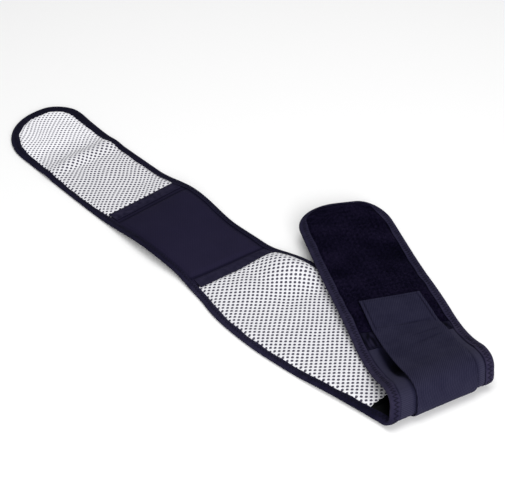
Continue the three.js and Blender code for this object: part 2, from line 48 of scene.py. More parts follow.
STRAP_HOOK_LENGTH, STRAP_HOOK_INSET, TAB_HOOK_LENGTH, TAB_HOOK_INSET = 46.0, 5.0, 80.0, 20.0
FOLD_PAST_SEAM, FOLD_SKEW, ROLL_RADIUS, RETURN_TWIST, RETURN_TWIST_LENGTH = 32.7, 10.56, 17.0, 5.3, 240.0
# Width of the binding's faces, where its turned edge starts, and how far in the straight seams run
BINDING_FACE, BINDING_TURN, TAPE_SEAM, STRAP_SEAM = 12.1, 2.2, 1.9, 4.6

SEAM_LEFT = LEFT_MESH_LENGTH
SEAM_RIGHT = SEAM_LEFT + HEAT_PAD_LENGTH
SEAM_ELASTIC = SEAM_RIGHT + BACK_MESH_LENGTH
SEAM_JOINING = SEAM_ELASTIC + ELASTIC_LENGTH
SEAM_TAB = SEAM_JOINING + JOINING_LENGTH
BELT_LENGTH = SEAM_TAB + TAB_LENGTH
EDGE_THICKNESS = SHELL_THICKNESS + GAP + PRESSED_LINING + GAP + BINDING_CLOTH
FOLD_AT, FOLD_ACROSS = SEAM_ELASTIC + FOLD_PAST_SEAM, 0.607 * ARM_WIDTH
ROLL_LENGTH = math.pi * ROLL_RADIUS
RISE = STRAP_CLOTH + GAP
STRAP_START, STRAP_END = SEAM_ELASTIC - STRAP_TUCK, SEAM_TAB + STRAP_OVERLAP
TAB_HOOK_END = BELT_LENGTH - TAB_HOOK_INSET - 2
TAB_HOOK_START = TAB_HOOK_END - TAB_HOOK_LENGTH
PRESSED_LOW = BINDING_CLOTH + GAP
LINING_LOW = SHELL_THICKNESS + GAP
PRESSED_HIGH = LINING_LOW + PRESSED_LINING
ORIGIN = np.array([446.0086, 145.3913, 0.0])

# Cut pattern: along as a share of BELT_LENGTH, near and far edge as shares of ARM_WIDTH
PATTERN = np.array([
    (0.000, 0.000, 0.965), (0.035, 0.000, 1.013), (0.065, 0.000, 0.992), (0.100, 0.000, 0.973), (0.200, -0.006, 0.971),
    (0.270, -0.001, 0.976), (0.335, 0.000, 0.970), (0.378, 0.012, 0.982), (0.404, -0.012, 0.993), (0.425, -0.038, 1.031),
    (0.446, -0.078, 1.076), (0.466, -0.097, 1.113), (0.495, -0.103, 1.128), (0.523, -0.092, 1.130), (0.571, -0.037, 1.121),
    (0.615, 0.034, 1.116), (0.659, 0.095, 1.122), (0.713, 0.139, 1.139), (0.790, 0.180, 1.187), (0.867, 0.230, 1.215),
    (0.944, 0.280, 1.259), (1.000, 0.319, 1.262),
])
# Rounded corners (end, side): along and across lengths as shares of ARM_WIDTH
CORNERS = {("tip", 0): (0.76, 0.68), ("tip", 1): (0.30, 0.24), ("tab", 0): (0.36, 0.48), ("tab", 1): (0.355, 0.26)}
# Arcs of the roll: length as a share of ARM_WIDTH, turn in degrees
ROLL = [
    (ROLL_LENGTH / 2 / ARM_WIDTH, 90), (ROLL_LENGTH / 2 / ARM_WIDTH, 90), (0.179, 28.8), (0.250, -14.9),
    (0.357, -20.5), (0.500, 6.5), (0.714, -5.5),
]
# Sag low on the roll's front: depth, and where it runs along the roll
SAG_DEPTH, SAG_FROM, SAG_TO = 0.28 * ROLL_RADIUS, 0.028 * ROLL_LENGTH, 0.618 * ROLL_LENGTH
# Ridges of the floor part: crest near and far, half length near and far, heights near, middle, crest, far
CREST_SHARES = np.array([0, 0.5, 0.82, 1])
RIDGES = [
    (0.134, 0.123, 0.015, 0.019, (0.015, 0.044, 0.034, 0.012)),
    (0.329, 0.277, 0.092, 0.072, (0.070, 0.086, 0.090, 0.082)),
    (0.431, 0.446, 0.046, 0.054, (0.002, 0.034, 0.110, 0.043)),
]
# Slant of the seams and rows across the belt
SLANTS = np.array([
    (0.303 * LEFT_MESH_LENGTH, 0), (0.482 * LEFT_MESH_LENGTH, -0.128), (SEAM_LEFT, 0), (SEAM_RIGHT, 0.07),
    (SEAM_ELASTIC, -0.05),
    (SEAM_ELASTIC + 0.105 * ELASTIC_LENGTH, 0.1864), (SEAM_ELASTIC + 0.867 * ELASTIC_LENGTH, 0.1864), (SEAM_TAB, -0.07),
    (SEAM_TAB + 0.21 * TAB_LENGTH, -0.02), (SEAM_TAB + 0.44 * TAB_LENGTH, 0),
])
# Strap side edges at shares of its length, as shares of the belt's width
STRAP_EDGES = np.array([
    (0, 0.235, 0.820), (0.29, 0.248, 0.820), (0.487, 0.224, 0.820), (0.714, 0.205, 0.828), (0.812, 0.198, 0.822),
    (1, 0.212, 0.803),
])
STRAP_BRIDGE = np.array([(0, 0), (0.16, 0.09), (0.36, 0.30), (0.57, 0.40), (0.80, 0.27), (1, 0)])

SKEW_COS, SKEW_SIN = math.cos(math.radians(FOLD_SKEW)), math.sin(math.radians(FOLD_SKEW))


def mix(a, b, k):
    return a + (b - a) * k


def smooth(x):
    k = np.clip(x, 0, 1)
    return k * k * (3 - 2 * k)


def bell(x, reach):
    return np.exp(-(x / reach) ** 2)


def rounded(distance, radius):
    """How far a rounded edge falls away, as a share of its radius, at a distance from the rim."""
    return 1 - np.sqrt(np.clip(1 - (1 - np.clip(distance / radius, 0, 1)) ** 2, 0, 1))


def from_table(at, table, column=1):
    return np.interp(at, table[:, 0], table[:, column])


def pattern_edge(side, along):
    """Across position of the near (0) or far (1) edge of the cut pattern."""
    x, at, value = np.clip(along / BELT_LENGTH, 0, 1), PATTERN[:, 0], PATTERN[:, 1 + side]
    b = np.clip(np.searchsorted(at, x, side="left"), 1, len(at) - 1)
    a, before, after = b - 1, np.maximum(b - 2, 0), np.minimum(b + 1, len(at) - 1)
    span = at[b] - at[a]
    k = (x - at[a]) / span
    slope_a = (value[b] - value[before]) / (at[b] - at[before]) * span
    slope_b = (value[after] - value[a]) / (at[after] - at[a]) * span
    k2, k3 = k * k, k * k * k
    return ARM_WIDTH * (
        (2 * k3 - 3 * k2 + 1) * value[a] + (k3 - 2 * k2 + k) * slope_a + (3 * k2 - 2 * k3) * value[b] + (k3 - k2) * slope_b)


def ridge_height(along, across):
    near, far = pattern_edge(0, along), pattern_edge(1, along)
    share = np.clip((across - near) / (far - near), 0, 1)
    height = np.zeros(share.shape)
    i = np.clip(np.searchsorted(CREST_SHARES, share, side="left"), 1, 3)
    k = smooth((share - CREST_SHARES[i - 1]) / (CREST_SHARES[i] - CREST_SHARES[i - 1]))
    for crest_near, crest_far, reach_near, reach_far, heights in RIDGES:
        crest, reach = (BELT_LENGTH * mix(a, b, share) for a, b in ((crest_near, crest_far), (reach_near, reach_far)))
        h = np.array(heights)
        distance = np.abs(along - crest) / reach
        rise = ARM_WIDTH * mix(h[i - 1], h[i], k) * np.cos(np.pi / 2 * np.minimum(distance, 1)) ** 2
        height += np.where(distance < 1, rise, 0)
    return height


def roll_profile(length):
    """Forward and upward position after an arc length along the roll."""
    forward, up, heading, start = np.zeros(length.shape), np.zeros(length.shape), 0.0, 0.0
    facing = np.zeros(length.shape)
    for share, turn in ROLL:
        arc = share * ARM_WIDTH
        bend = math.radians(turn) / arc
        run = np.clip(length - start, 0, arc)
        forward += (np.sin(heading + bend * run) - math.sin(heading)) / bend
        up += (math.cos(heading) - np.cos(heading + bend * run)) / bend
        heading += bend * arc
        start += arc
        facing += bend * run
    rest = np.maximum(length - start, 0)
    sag = SAG_DEPTH * np.sin(np.pi * np.clip((length - SAG_FROM) / (SAG_TO - SAG_FROM), 0, 1)) ** 2
    forward += rest * math.cos(heading) + sag * np.sin(facing)
    return forward, up + rest * math.sin(heading) - sag * np.cos(facing)


def surface(along, across):
    """Outer face of the cloth in space, in millimetres."""
    u, v = along - FOLD_AT, across - FOLD_ACROSS
    past, side = u * SKEW_COS - v * SKEW_SIN, u * SKEW_SIN + v * SKEW_COS
    rise = RISE * smooth((along - STRAP_START) / STRAP_TUCK + 1)
    forward, up = roll_profile(np.maximum(past, 0))
    twist = RETURN_TWIST * side / (ARM_WIDTH / 2) * np.clip((past - 1.75 * ROLL_LENGTH) / RETURN_TWIST_LENGTH, 0, 1)
    flat = np.stack([along, across, ridge_height(along, across) + rise], -1)
    rolled = np.stack([
        FOLD_AT + forward * SKEW_COS + side * SKEW_SIN, FOLD_ACROSS - forward * SKEW_SIN + side * SKEW_COS,
        up - twist + rise], -1)
    return np.where((past <= 0)[..., None], flat, rolled)


def cloth_point(along, across, lift):
    """A point of the cloth lifted off its outer face towards the lining, in metres in the row frame."""
    along, across, lift = np.broadcast_arrays(np.asarray(along, float), np.asarray(across, float), np.asarray(lift, float))
    step = 0.05
    a = surface(along + step, across) - surface(along - step, across)
    b = surface(along, across + step) - surface(along, across - step)
    normal = np.cross(a, b)
    normal /= np.linalg.norm(normal, axis=-1, keepdims=True)
    return (surface(along, across) + normal * lift[..., None] - ORIGIN) / 1000


# Outline of the belt, and lines at a fixed distance inside it
CORNER_STEPS = 24


def corner_path(side, end):
    length, depth = (ARM_WIDTH * share for share in CORNERS[end, side])
    angle = np.linspace(0, np.pi / 2, CORNER_STEPS + 1)
    inside = length * (1 - np.cos(angle))
    along = inside if end == "tip" else BELT_LENGTH - inside
    return np.stack([along, pattern_edge(side, along) + (1 if side == 0 else -1) * depth * (1 - np.sin(angle))], -1)


def edge_path(side):
    tip, tab = corner_path(side, "tip"), corner_path(side, "tab")[::-1]
    at = np.arange(0, BELT_LENGTH, 2.0)
    at = at[(at > tip[-1, 0] + 1.5) & (at < tab[0, 0] - 1.5)]
    return np.concatenate([tip, np.stack([at, pattern_edge(side, at)], -1), tab])


near_path, far_path = edge_path(0), edge_path(1)
outline = np.concatenate([near_path, far_path[::-1]])


def inward(points):
    before, after = points - np.roll(points, 1, 0), np.roll(points, -1, 0) - points
    d = before / np.linalg.norm(before, axis=1, keepdims=True) + after / np.linalg.norm(after, axis=1, keepdims=True)
    d /= np.linalg.norm(d, axis=1, keepdims=True)
    return np.stack([-d[:, 1], d[:, 0]], -1)


outline_inward = inward(outline)
inset_lines = {}


def inset_line(side, distance, along):
    """Across position of the line that runs a fixed distance inside one edge."""
    if (side, distance) not in inset_lines:
        moved = outline + outline_inward * distance
        line = moved[:len(near_path)] if side == 0 else moved[len(near_path):][::-1]
        inset_lines[side, distance] = (np.maximum.accumulate(line[:, 0] + np.arange(len(line)) * 1e-7), line[:, 1])
    return np.interp(along, *inset_lines[side, distance])


# Distance of any cloth point from the outline, read off a table made once
TABLE_STEP = 4.0
table_along, table_across = np.arange(0, BELT_LENGTH + TABLE_STEP, TABLE_STEP), np.arange(-20, 184, TABLE_STEP)


def measured_distance(p):
    a, d = outline, np.roll(outline, -1, 0) - outline
    length2, best = (d * d).sum(1), np.zeros(len(p))
    for i in range(0, len(p), 1500):
        q = p[i:i + 1500, None, :] - a[None]
        t = np.clip((q * d[None]).sum(-1) / length2, 0, 1)
        best[i:i + 1500] = np.sqrt(((q - t[..., None] * d[None]) ** 2).sum(-1).min(1))
    inside = (p[:, 1] > np.interp(p[:, 0], *near_path.T)) & (p[:, 1] < np.interp(p[:, 0], *far_path.T))
    return np.where(inside, best, -best)


table_points = np.stack(np.meshgrid(table_along, table_across, indexing="ij"), -1).reshape(-1, 2)
distance_table = measured_distance(table_points).reshape(len(table_along), len(table_across))


def edge_distance(along, across):
    x = np.clip(along / TABLE_STEP, 0, len(table_along) - 1.001)
    y = np.clip((across - table_across[0]) / TABLE_STEP, 0, len(table_across) - 1.001)
    i, j = x.astype(int), y.astype(int)
    fx, fy, d = x - i, y - j, distance_table
    return (d[i, j] * (1 - fx) + d[i + 1, j] * fx) * (1 - fy) + (d[i, j + 1] * (1 - fx) + d[i + 1, j + 1] * fx) * fy


def slant_at(row):
    return from_table(row, SLANTS)


def row_of(along, across):
    row = along
    for _ in range(5):
        row = along - slant_at(row) * (across - FOLD_ACROSS)
    return row


def rows(start, end, step, fixed=()):
    """Evenly spaced rows between two ends, with some rows fixed."""
    stops = sorted({start, end, *[f for f in fixed if start < f < end]})
    found = [start]
    for a, b in zip(stops[:-1], stops[1:]):
        n = max(1, round((b - a) / step))
        found += [a + (b - a) * i / n for i in range(1, n + 1)]
    return np.array(found)


def grid(row_list, insets, step=3.0):
    """Cloth positions of a grid: columns at fixed insets by the two edges and evenly spaced between them."""
    last = insets[-1]
    count = max(2, round((ARM_WIDTH - 2 * last) / step))
    columns = [(0, d) for d in insets] + [(2, k / count) for k in range(1, count)]
    columns += [(1, d) for d in reversed(insets)]
    row = np.repeat(np.asarray(row_list)[:, None], len(columns), 1)
    along, across = row.copy(), np.zeros(row.shape)
    for _ in range(4):
        for j, (side, d) in enumerate(columns):
            if side < 2:
                across[:, j] = inset_line(side, d, along[:, j])
            else:
                across[:, j] = mix(inset_line(0, last, along[:, j]), inset_line(1, last, along[:, j]), d)
        along = row + slant_at(row) * (across - FOLD_ACROSS)
    inset = np.array([d if side < 2 else 1000 for side, d in columns])
    inset = np.minimum(np.minimum(inset[None], row), BELT_LENGTH - row)
    return row, along, across, inset


# Smooth repeatable unevenness from many waves in random directions
def waves(along, across, length, seed, count=28):
    r = np.random.default_rng(seed)
    total = np.zeros(np.shape(along))
    angles, phases, sizes = (r.uniform(low, high, count) for low, high in ((0, np.pi), (0, 2 * np.pi), (0.65, 1.6)))
    for angle, phase, size in zip(angles, phases, sizes):
        k = 2 * np.pi / (length * size)
        total += np.sin(k * (np.cos(angle) * along + np.sin(angle) * across) + phase)
    return total / math.sqrt(count / 2)


# Lifts of the layers
def freedom(distance, step):
    return smooth(distance / step)


def clear_of_binding(inset, step):
    return freedom(inset - BINDING_WIDTH - 2 * GAP, step)


def clear_of_seam(row, seam, tape, step):
    return freedom(np.abs(row - seam) - tape / 2 - GAP, step)


def lining_freedom(row, inset, step):
    return np.minimum(np.minimum(clear_of_binding(inset, step), clear_of_seam(row, SEAM_LEFT, TAPE_LEFT_WIDTH, step)),
                      clear_of_seam(row, SEAM_RIGHT, TAPE_RIGHT_WIDTH, step))


# Zigzag stitching of the binding: one full swing, and how far in from the edge it swings
ZIGZAG, STITCH_IN, STITCH_OUT = 4.8, 4.0, 9.8

# The binding as sewn: width of its lining side, and painted light and shade on its cloth along the near and the far
# edge
# The painted shade darkens it along the left part and by the fold; the painted light brightens it on the bend
BINDING_WIDTH_AND_LIGHT = np.array([
    (0, 13.6, 0.46, 15.6, 0.33), (60, 13.0, 0.47, 15.8, 0.34), (110, 11.0, 0.50, 13.6, 0.42), (180, 8.6, 0.50, 10.8, 0.45),
    (225, 7.4, 0.58, 12.4, 0.57), (290, 8.4, 0.60, 10.6, 0.58), (325, 11.6, 0.60, 11.8, 0.58), (350, 9.6, 0.62, 9.8, 0.55),
    (390, 9.4, 0.50, 9.8, 0.55), (430, 9.0, 0.44, 9.4, 0.55), (470, 9.4, 0.56, 8.4, 0.56), (500, 9.4, 0.80, 9.0, 0.60),
    (530, 10.2, 1.20, 11.4, 0.62), (640, 9.4, 1.25, 10.2, 0.70), (720, 9.4, 0.80, 10.2, 0.70), (790, 9.8, 0.42, 11.8, 0.70),
    (840, 11.8, 0.36, 12.0, 0.95), (880, 12.1, 1.50, 12.1, 1.90), (960, 12.1, 1.85, 12.1, 1.90),
    (1020, 12.1, 1.55, 12.1, 1.75), (1080, 12.1, 1.40, 12.1, 1.50), (1140, 12.1, 1.25, 12.1, 1.15),
    (1200, 12.1, 1.10, 12.1, 1.35), (1295, 12.1, 1.00, 12.1, 1.20),
])


def binding_table_at(along, across, column):
    """The near edge's column of the table above, or the far edge's, two further on, where that edge is nearer."""
    far = across > (pattern_edge(0, along) + pattern_edge(1, along)) / 2
    return np.where(far, from_table(along, BINDING_WIDTH_AND_LIGHT, column + 2), from_table(along, BINDING_WIDTH_AND_LIGHT, column))


def lining_width(along, across):
    return binding_table_at(along, across, 1)


def outside_width(lean):
    """Width of the binding on the outside, from how far its inward direction leans along the belt."""
    return mix(BINDING_FACE, 4.4, smooth((-lean - 0.35) / 0.5))


def strap_sides(row, along):
    """Across positions of the strap's two side edges."""
    part = (row - STRAP_START) / (STRAP_END - STRAP_START)
    near, far = pattern_edge(0, along), pattern_edge(1, along)
    return [mix(near, far, from_table(part, STRAP_EDGES, k)) for k in (1, 2)]


def strap_beside(row, along, across):
    """Distance from the nearer side edge of the strap."""
    left, right = strap_sides(row, along)
    return np.minimum(np.abs(across - left), np.abs(across - right))


def drawn_in(inset, width):
    """Inset on one side of the binding, drawn in to the width it has there."""
    return np.where(inset > BINDING_TURN, BINDING_TURN + (inset - BINDING_TURN) * (width - BINDING_TURN) / 9.9, inset)


# Materials
def set_sockets(tree, made, sockets):
    """Each socket gets its value, or is joined to another node's output."""
    for name, value in sockets.items():
        if isinstance(value, bpy.types.NodeSocket):
            tree.links.new(value, made.inputs[name])
        else:
            made.inputs[name].default_value = value


def node(tree, kind, sockets=None, **settings):
    made = tree.nodes.new(kind)
    for name, value in settings.items():
        setattr(made, name, value)
    set_sockets(tree, made, sockets or {})
    return made


def wave_of(tree, vector, pitch, angle):
    turned = node(
        tree, "ShaderNodeMapping", {"Vector": vector, "Rotation": (0, 0, math.radians(angle))}, vector_type="POINT")
    sockets = {
        "Vector": turned.outputs["Vector"], "Scale": 0.31416 / pitch, "Distortion": 0.6, "Detail": 1.0, "Detail Scale": 2.0}
    wave = node(tree, "ShaderNodeTexWave", sockets, wave_type="BANDS", bands_direction="X", wave_profile="SIN")
    return wave.outputs["Fac"]


def math_of(tree, operation, a, b):
    return node(tree, "ShaderNodeMath", {0: a, 1: b}, operation=operation).outputs[0]


def zigzag_groove(tree):
    """1 on the open cloth, down to a low share in the groove that the zigzag thread pulls; used as painted shade there.
    """
    edge = node(tree, "ShaderNodeUVMap", uv_map="edge").outputs["UV"]
    split = node(tree, "ShaderNodeSeparateXYZ", {0: edge})
    swing = math_of(tree, "PINGPONG", split.outputs[0], ZIGZAG / 2000)
    inset = math_of(tree, "MULTIPLY", swing, (STITCH_OUT - STITCH_IN) / (ZIGZAG / 2))
    inset = math_of(tree, "ADD", inset, STITCH_IN / 1000)
    off = math_of(tree, "ABSOLUTE", math_of(tree, "SUBTRACT", split.outputs[1], inset), 0)
    sockets = {"Value": off, "From Min": 0.0005, "From Max": 0.0021, "To Min": 0.42, "To Max": 1.04}
    return node(tree, "ShaderNodeMapRange", sockets, interpolation_type="SMOOTHSTEP").outputs["Result"]


MATERIALS = {}


def cloth_material(
        name, colour, weave, roughness=0.9, specular=0.06, sheen=0.0, bump=0.25, depth=0.0003, mottle=0.16, fine=0.25,
        zigzag=False, deepen=0.68):
    """A woven or knitted cloth. weave lists (pitch in metres, angle in degrees) of crossing yarns, or is 'pile'.
    A deepen below 1 makes dark places bluer and light places greyer."""
    material = MATERIALS[name] = bpy.data.materials.new(name)
    material.use_nodes = True
    tree = material.node_tree
    uv = node(tree, "ShaderNodeUVMap", uv_map="cloth").outputs["UV"]

    def noise(scale, detail, rough):
        sockets = {"Vector": uv, "Scale": scale, "Detail": detail, "Roughness": rough}
        return node(tree, "ShaderNodeTexNoise", sockets).outputs["Fac"]

    def calc(operation, a, b):
        return math_of(tree, operation, a, b)

    broad, grain = noise(32.0, 3.0, 0.55), noise(620.0 if weave == "pile" else 1100.0, 2.0, 0.6)
    if weave == "pile":
        yarn = calc("ADD", calc("MULTIPLY", noise(210.0, 3.0, 0.65), 0.6), calc("MULTIPLY", grain, 0.6))
    else:
        yarn, *others = (wave_of(tree, uv, pitch, angle) for pitch, angle in weave)
        for other in others:
            yarn = calc("MULTIPLY", yarn, other)
        yarn = calc("ADD", calc("MULTIPLY", yarn, 0.8), calc("MULTIPLY", grain, 0.35))
    shade = node(tree, "ShaderNodeAttribute", attribute_name="shade", attribute_type="GEOMETRY").outputs["Fac"]
    tone = calc("MULTIPLY", calc("SUBTRACT", broad, 0.5), 2 * mottle)
    tone = calc("ADD", tone, calc("MULTIPLY", calc("SUBTRACT", yarn, 0.5), 2 * fine))
    tone = calc("MULTIPLY", calc("ADD", tone, 1.0), shade)
    if zigzag:
        # Painted shade in the zigzag thread's groove; the same mask lowers the bump there
        groove = zigzag_groove(tree)
        tone = calc("MULTIPLY", tone, groove)
        yarn = calc("ADD", yarn, calc("MULTIPLY", groove, 1.5))
    tone = calc("MAXIMUM", tone, 0.02)
    channels = node(tree, "ShaderNodeCombineColor", {"Red": tone, "Green": tone, "Blue": calc("POWER", tone, deepen)})
    shaded = node(
        tree, "ShaderNodeMix", data_type="RGBA", blend_type="MULTIPLY", clamp_result=False,
        sockets={0: 1.0, 6: (*colour, 1), 7: channels.outputs["Color"]})
    raised = node(tree, "ShaderNodeBump", {"Height": yarn, "Strength": bump, "Distance": depth})
    rough = node(
        tree, "ShaderNodeMapRange", {"Value": grain, "To Min": roughness - 0.12, "To Max": min(1.0, roughness + 0.08)})
    shader = tree.nodes["Principled BSDF"]
    shader.inputs["Roughness"].default_value = roughness
    set_sockets(tree, shader, {
        "Base Color": shaded.outputs[2], "Normal": raised.outputs["Normal"], "Roughness": rough.outputs["Result"],
        "Specular IOR Level": specular, "Sheen Weight": sheen, "Sheen Roughness": 0.45, "Sheen Tint": (0.55, 0.55, 0.8, 1)})


TWILL = ((0.0011, 38), (0.0023, -52))
COARSE_TWILL = ((0.0022, 72), (0.0013, -18))
KNIT = ((0.0012, 45), (0.0012, -45))
RIB = ((0.0009, 62), (0.0021, -28))
cloth_material("shell_cloth", (0.0105, 0.0092, 0.0215), KNIT, sheen=0.03)
cloth_material(
    "air_mesh", (0.735, 0.735, 0.765), KNIT, roughness=0.75, specular=0.2, bump=0.35, mottle=0.03, fine=0.06, deepen=1.0)
# Dark inside of the holes: the backing seen through them, and painted shade on the holes' lower walls
cloth_material("hole_backing_and_shade", (0.080, 0.074, 0.105), KNIT, deepen=1.0)
cloth_material("pad_cloth", (0.0114, 0.0095, 0.0262), TWILL, mottle=0.14, fine=0.24)
cloth_material("tape_cloth", (0.0148, 0.0130, 0.0310), ((0.0008, 0), (0.0016, 90)), mottle=0.25)
cloth_material("binding_cloth", (0.0121, 0.0104, 0.0276), KNIT, sheen=0.03, mottle=0.34, fine=0.36, zigzag=True)
cloth_material("elastic_cloth", (0.0245, 0.0232, 0.0455), RIB, sheen=0.03, bump=0.6, fine=0.5)
# Dark satin of the lining side, its colour darkened further as painted shade of the inner bend
cloth_material("inner_satin_and_shade", (0.0004, 0.0006, 0.0012), RIB, roughness=0.5)
cloth_material(
    "plush_cloth", (0.0021, 0.0015, 0.0070), "pile", roughness=0.95, specular=0.02, sheen=0.006, bump=1.0, depth=0.0016,
    mottle=0.34, fine=2.8)
cloth_material("band_cloth", (0.0100, 0.0088, 0.0215), KNIT, mottle=0.3, fine=0.4)
cloth_material("hook_cloth", (0.010, 0.010, 0.014), KNIT, roughness=0.55, specular=0.3)
cloth_material("strap_cloth", (0.0160, 0.0151, 0.0340), COARSE_TWILL, sheen=0.03, bump=0.7, mottle=0.14, fine=0.68)
cloth_material("thread", (0.0040, 0.0034, 0.0090), ((0.0006, 30),), roughness=0.7, specular=0.1)


# Meshes
def placed(name, data):
    made = bpy.data.objects.new(name, data)
    bpy.context.scene.collection.objects.link(made)
    return made


def piece(name, vertices, faces, uv, materials, face_material=None, shade=None, edge_uv=None):
    vertices = np.asarray(vertices)
    vertices[:, 2] = np.maximum(vertices[:, 2], 0)
    mesh = bpy.data.meshes.new(name)
    mesh.from_pydata(vertices.tolist(), [], faces)
    for m in materials:
        mesh.materials.append(MATERIALS[m])
    loops = np.zeros(len(mesh.loops), np.int32)
    mesh.loops.foreach_get("vertex_index", loops)
    for layer_name, values in (("cloth", uv), ("edge", edge_uv)):
        if values is not None:
            layer = mesh.uv_layers.new(name=layer_name)
            layer.data.foreach_set("uv", (np.asarray(values)[loops] / 1000).astype(np.float32).ravel())
    attribute = mesh.attributes.new("shade", "FLOAT", "POINT")
    tone = np.ones(len(vertices)) if shade is None else np.asarray(shade)
    attribute.data.foreach_set("value", tone.astype(np.float32).ravel())
    if face_material is not None:
        mesh.polygons.foreach_set("material_index", np.asarray(face_material, np.int32))
    mesh.polygons.foreach_set("use_smooth", np.full(len(mesh.polygons), True))
    mesh.validate()
    mesh.update()
    made = placed(name, mesh)
    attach(made, "root")
    return made


def sheet_faces(n, m):
    """Faces of a closed sheet from an under and an over grid of n by m points, with the part each belongs to."""
    i, j = np.meshgrid(np.arange(n - 1), np.arange(m - 1), indexing="ij")
    low, size = (i * m + j).ravel(), n * m
    high = low + size
    over = np.stack([high, high + m, high + m + 1, high + 1], -1)
    under = np.stack([low, low + 1, low + m + 1, low + m], -1)
    a, b = np.arange(n - 1) * m, np.arange(m - 1)
    sides = [
        np.stack([a, a + m, a + m + size, a + size], -1),
        np.stack([a + m + m - 1, a + m - 1, a + m - 1 + size, a + 2 * m - 1 + size], -1),
        np.stack([b + 1, b, b + size, b + 1 + size], -1),
        np.stack([(n - 1) * m + b, (n - 1) * m + b + 1, (n - 1) * m + b + 1 + size, (n - 1) * m + b + size], -1),
    ]
    faces = np.concatenate([over, under, *sides])
    kinds = np.concatenate([np.zeros(len(over)), np.ones(len(under)), np.full(sum(map(len, sides)), 2)])
    return faces.tolist(), kinds.astype(int)


def sheet_piece(
        name, along, across, under, over, materials, replaces, face_parts=None, shade=None):
    """A closed sheet between two lifts, laid out as the piece that stands for one solid."""
    n, m = along.shape
    vertices = np.concatenate([cloth_point(along, across, lift).reshape(-1, 3) for lift in (under, over)])
    uv = np.tile(np.stack([along, across], -1).reshape(-1, 2), (2, 1))
    faces, kinds = sheet_faces(n, m)
    face_material = None if face_parts is None else np.array(face_parts)[kinds]
    if shade is not None:
        shade = np.tile(np.broadcast_to(shade, along.shape).ravel(), 2)
    made = piece(name, vertices, faces, uv, materials, face_material, shade)
    if replaces:
        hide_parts(replaces)
    return made


EDGE_INSETS = [1.1, 3.5, 6, 9, 12.2, 12.9, 13.6, 14.3, 15.0, 16.5, 19, 22]
TAPE_INSETS = [12.75, 13.6, 15, 17]
START, END = EDGE_CLEARANCE, BELT_LENGTH - EDGE_CLEARANCE

# Outer shell
row, along, across, inset = grid(rows(START, SEAM_ELASTIC - 0.2, 5, [PRESSED_LOW + 12]), EDGE_INSETS, 6)
shell = sheet_piece(
    "shell", along, across, mix(PRESSED_LOW, 0, clear_of_binding(inset, SOFT_STEP)), SHELL_THICKNESS,
    ["shell_cloth"], "outer_shell")

# Perforated air mesh: staggered rows of rounded holes in cells between two lattice directions
CELL_U, CELL_V = np.array([4.00, -4.30]), np.array([3.65, 4.37])
HOLE_U, HOLE_V, HOLE_POWER = 0.330, 0.295, 2.4
SIDE = [(-3, -3), (-1, -3), (1, -3), (3, -3), (3, -1), (3, 1), (3, 3), (1, 3), (-1, 3), (-3, 3), (-3, 1), (-3, -1)]
RINGS = [(1.14, 0.0), (1.0, 0.28), (0.95, 0.95)]
# Painted light on the mesh along the belt, brighter towards the tip, and size of its holes along the belt
MESH_PAINTED_LIGHT = np.array([(0, 1.27), (112, 1.27), (150, 1.03), (300, 1.01), (540, 0.98), (800, 1.0)])
HOLE_SIZE = np.array([(0, 0.92), (112, 0.92), (150, 1.0)])


def mesh_top(along, across):
    row = row_of(along, across)
    inset = np.minimum(edge_distance(along, across), 400)
    inset += BINDING_FACE - lining_width(along, across)
    top = mix(PRESSED_HIGH, LINING_LOW + MESH_THICKNESS, lining_freedom(row, inset, SOFT_STEP + 1.5))
    return top - 0.18 + 0.18 * waves(along, across, 38, 3)


def stretched(flat, first, last, give):
    """Lattice points moved by the knit's own unevenness, which dies out at the ends of the panel."""
    x, y = flat.T
    row = row_of(x, y)
    ease = smooth(np.minimum(row - first, last - row) / 30)
    return flat + give * (ease * np.stack([waves(x, y, 74, 14), waves(x, y, 74, 15)])).T


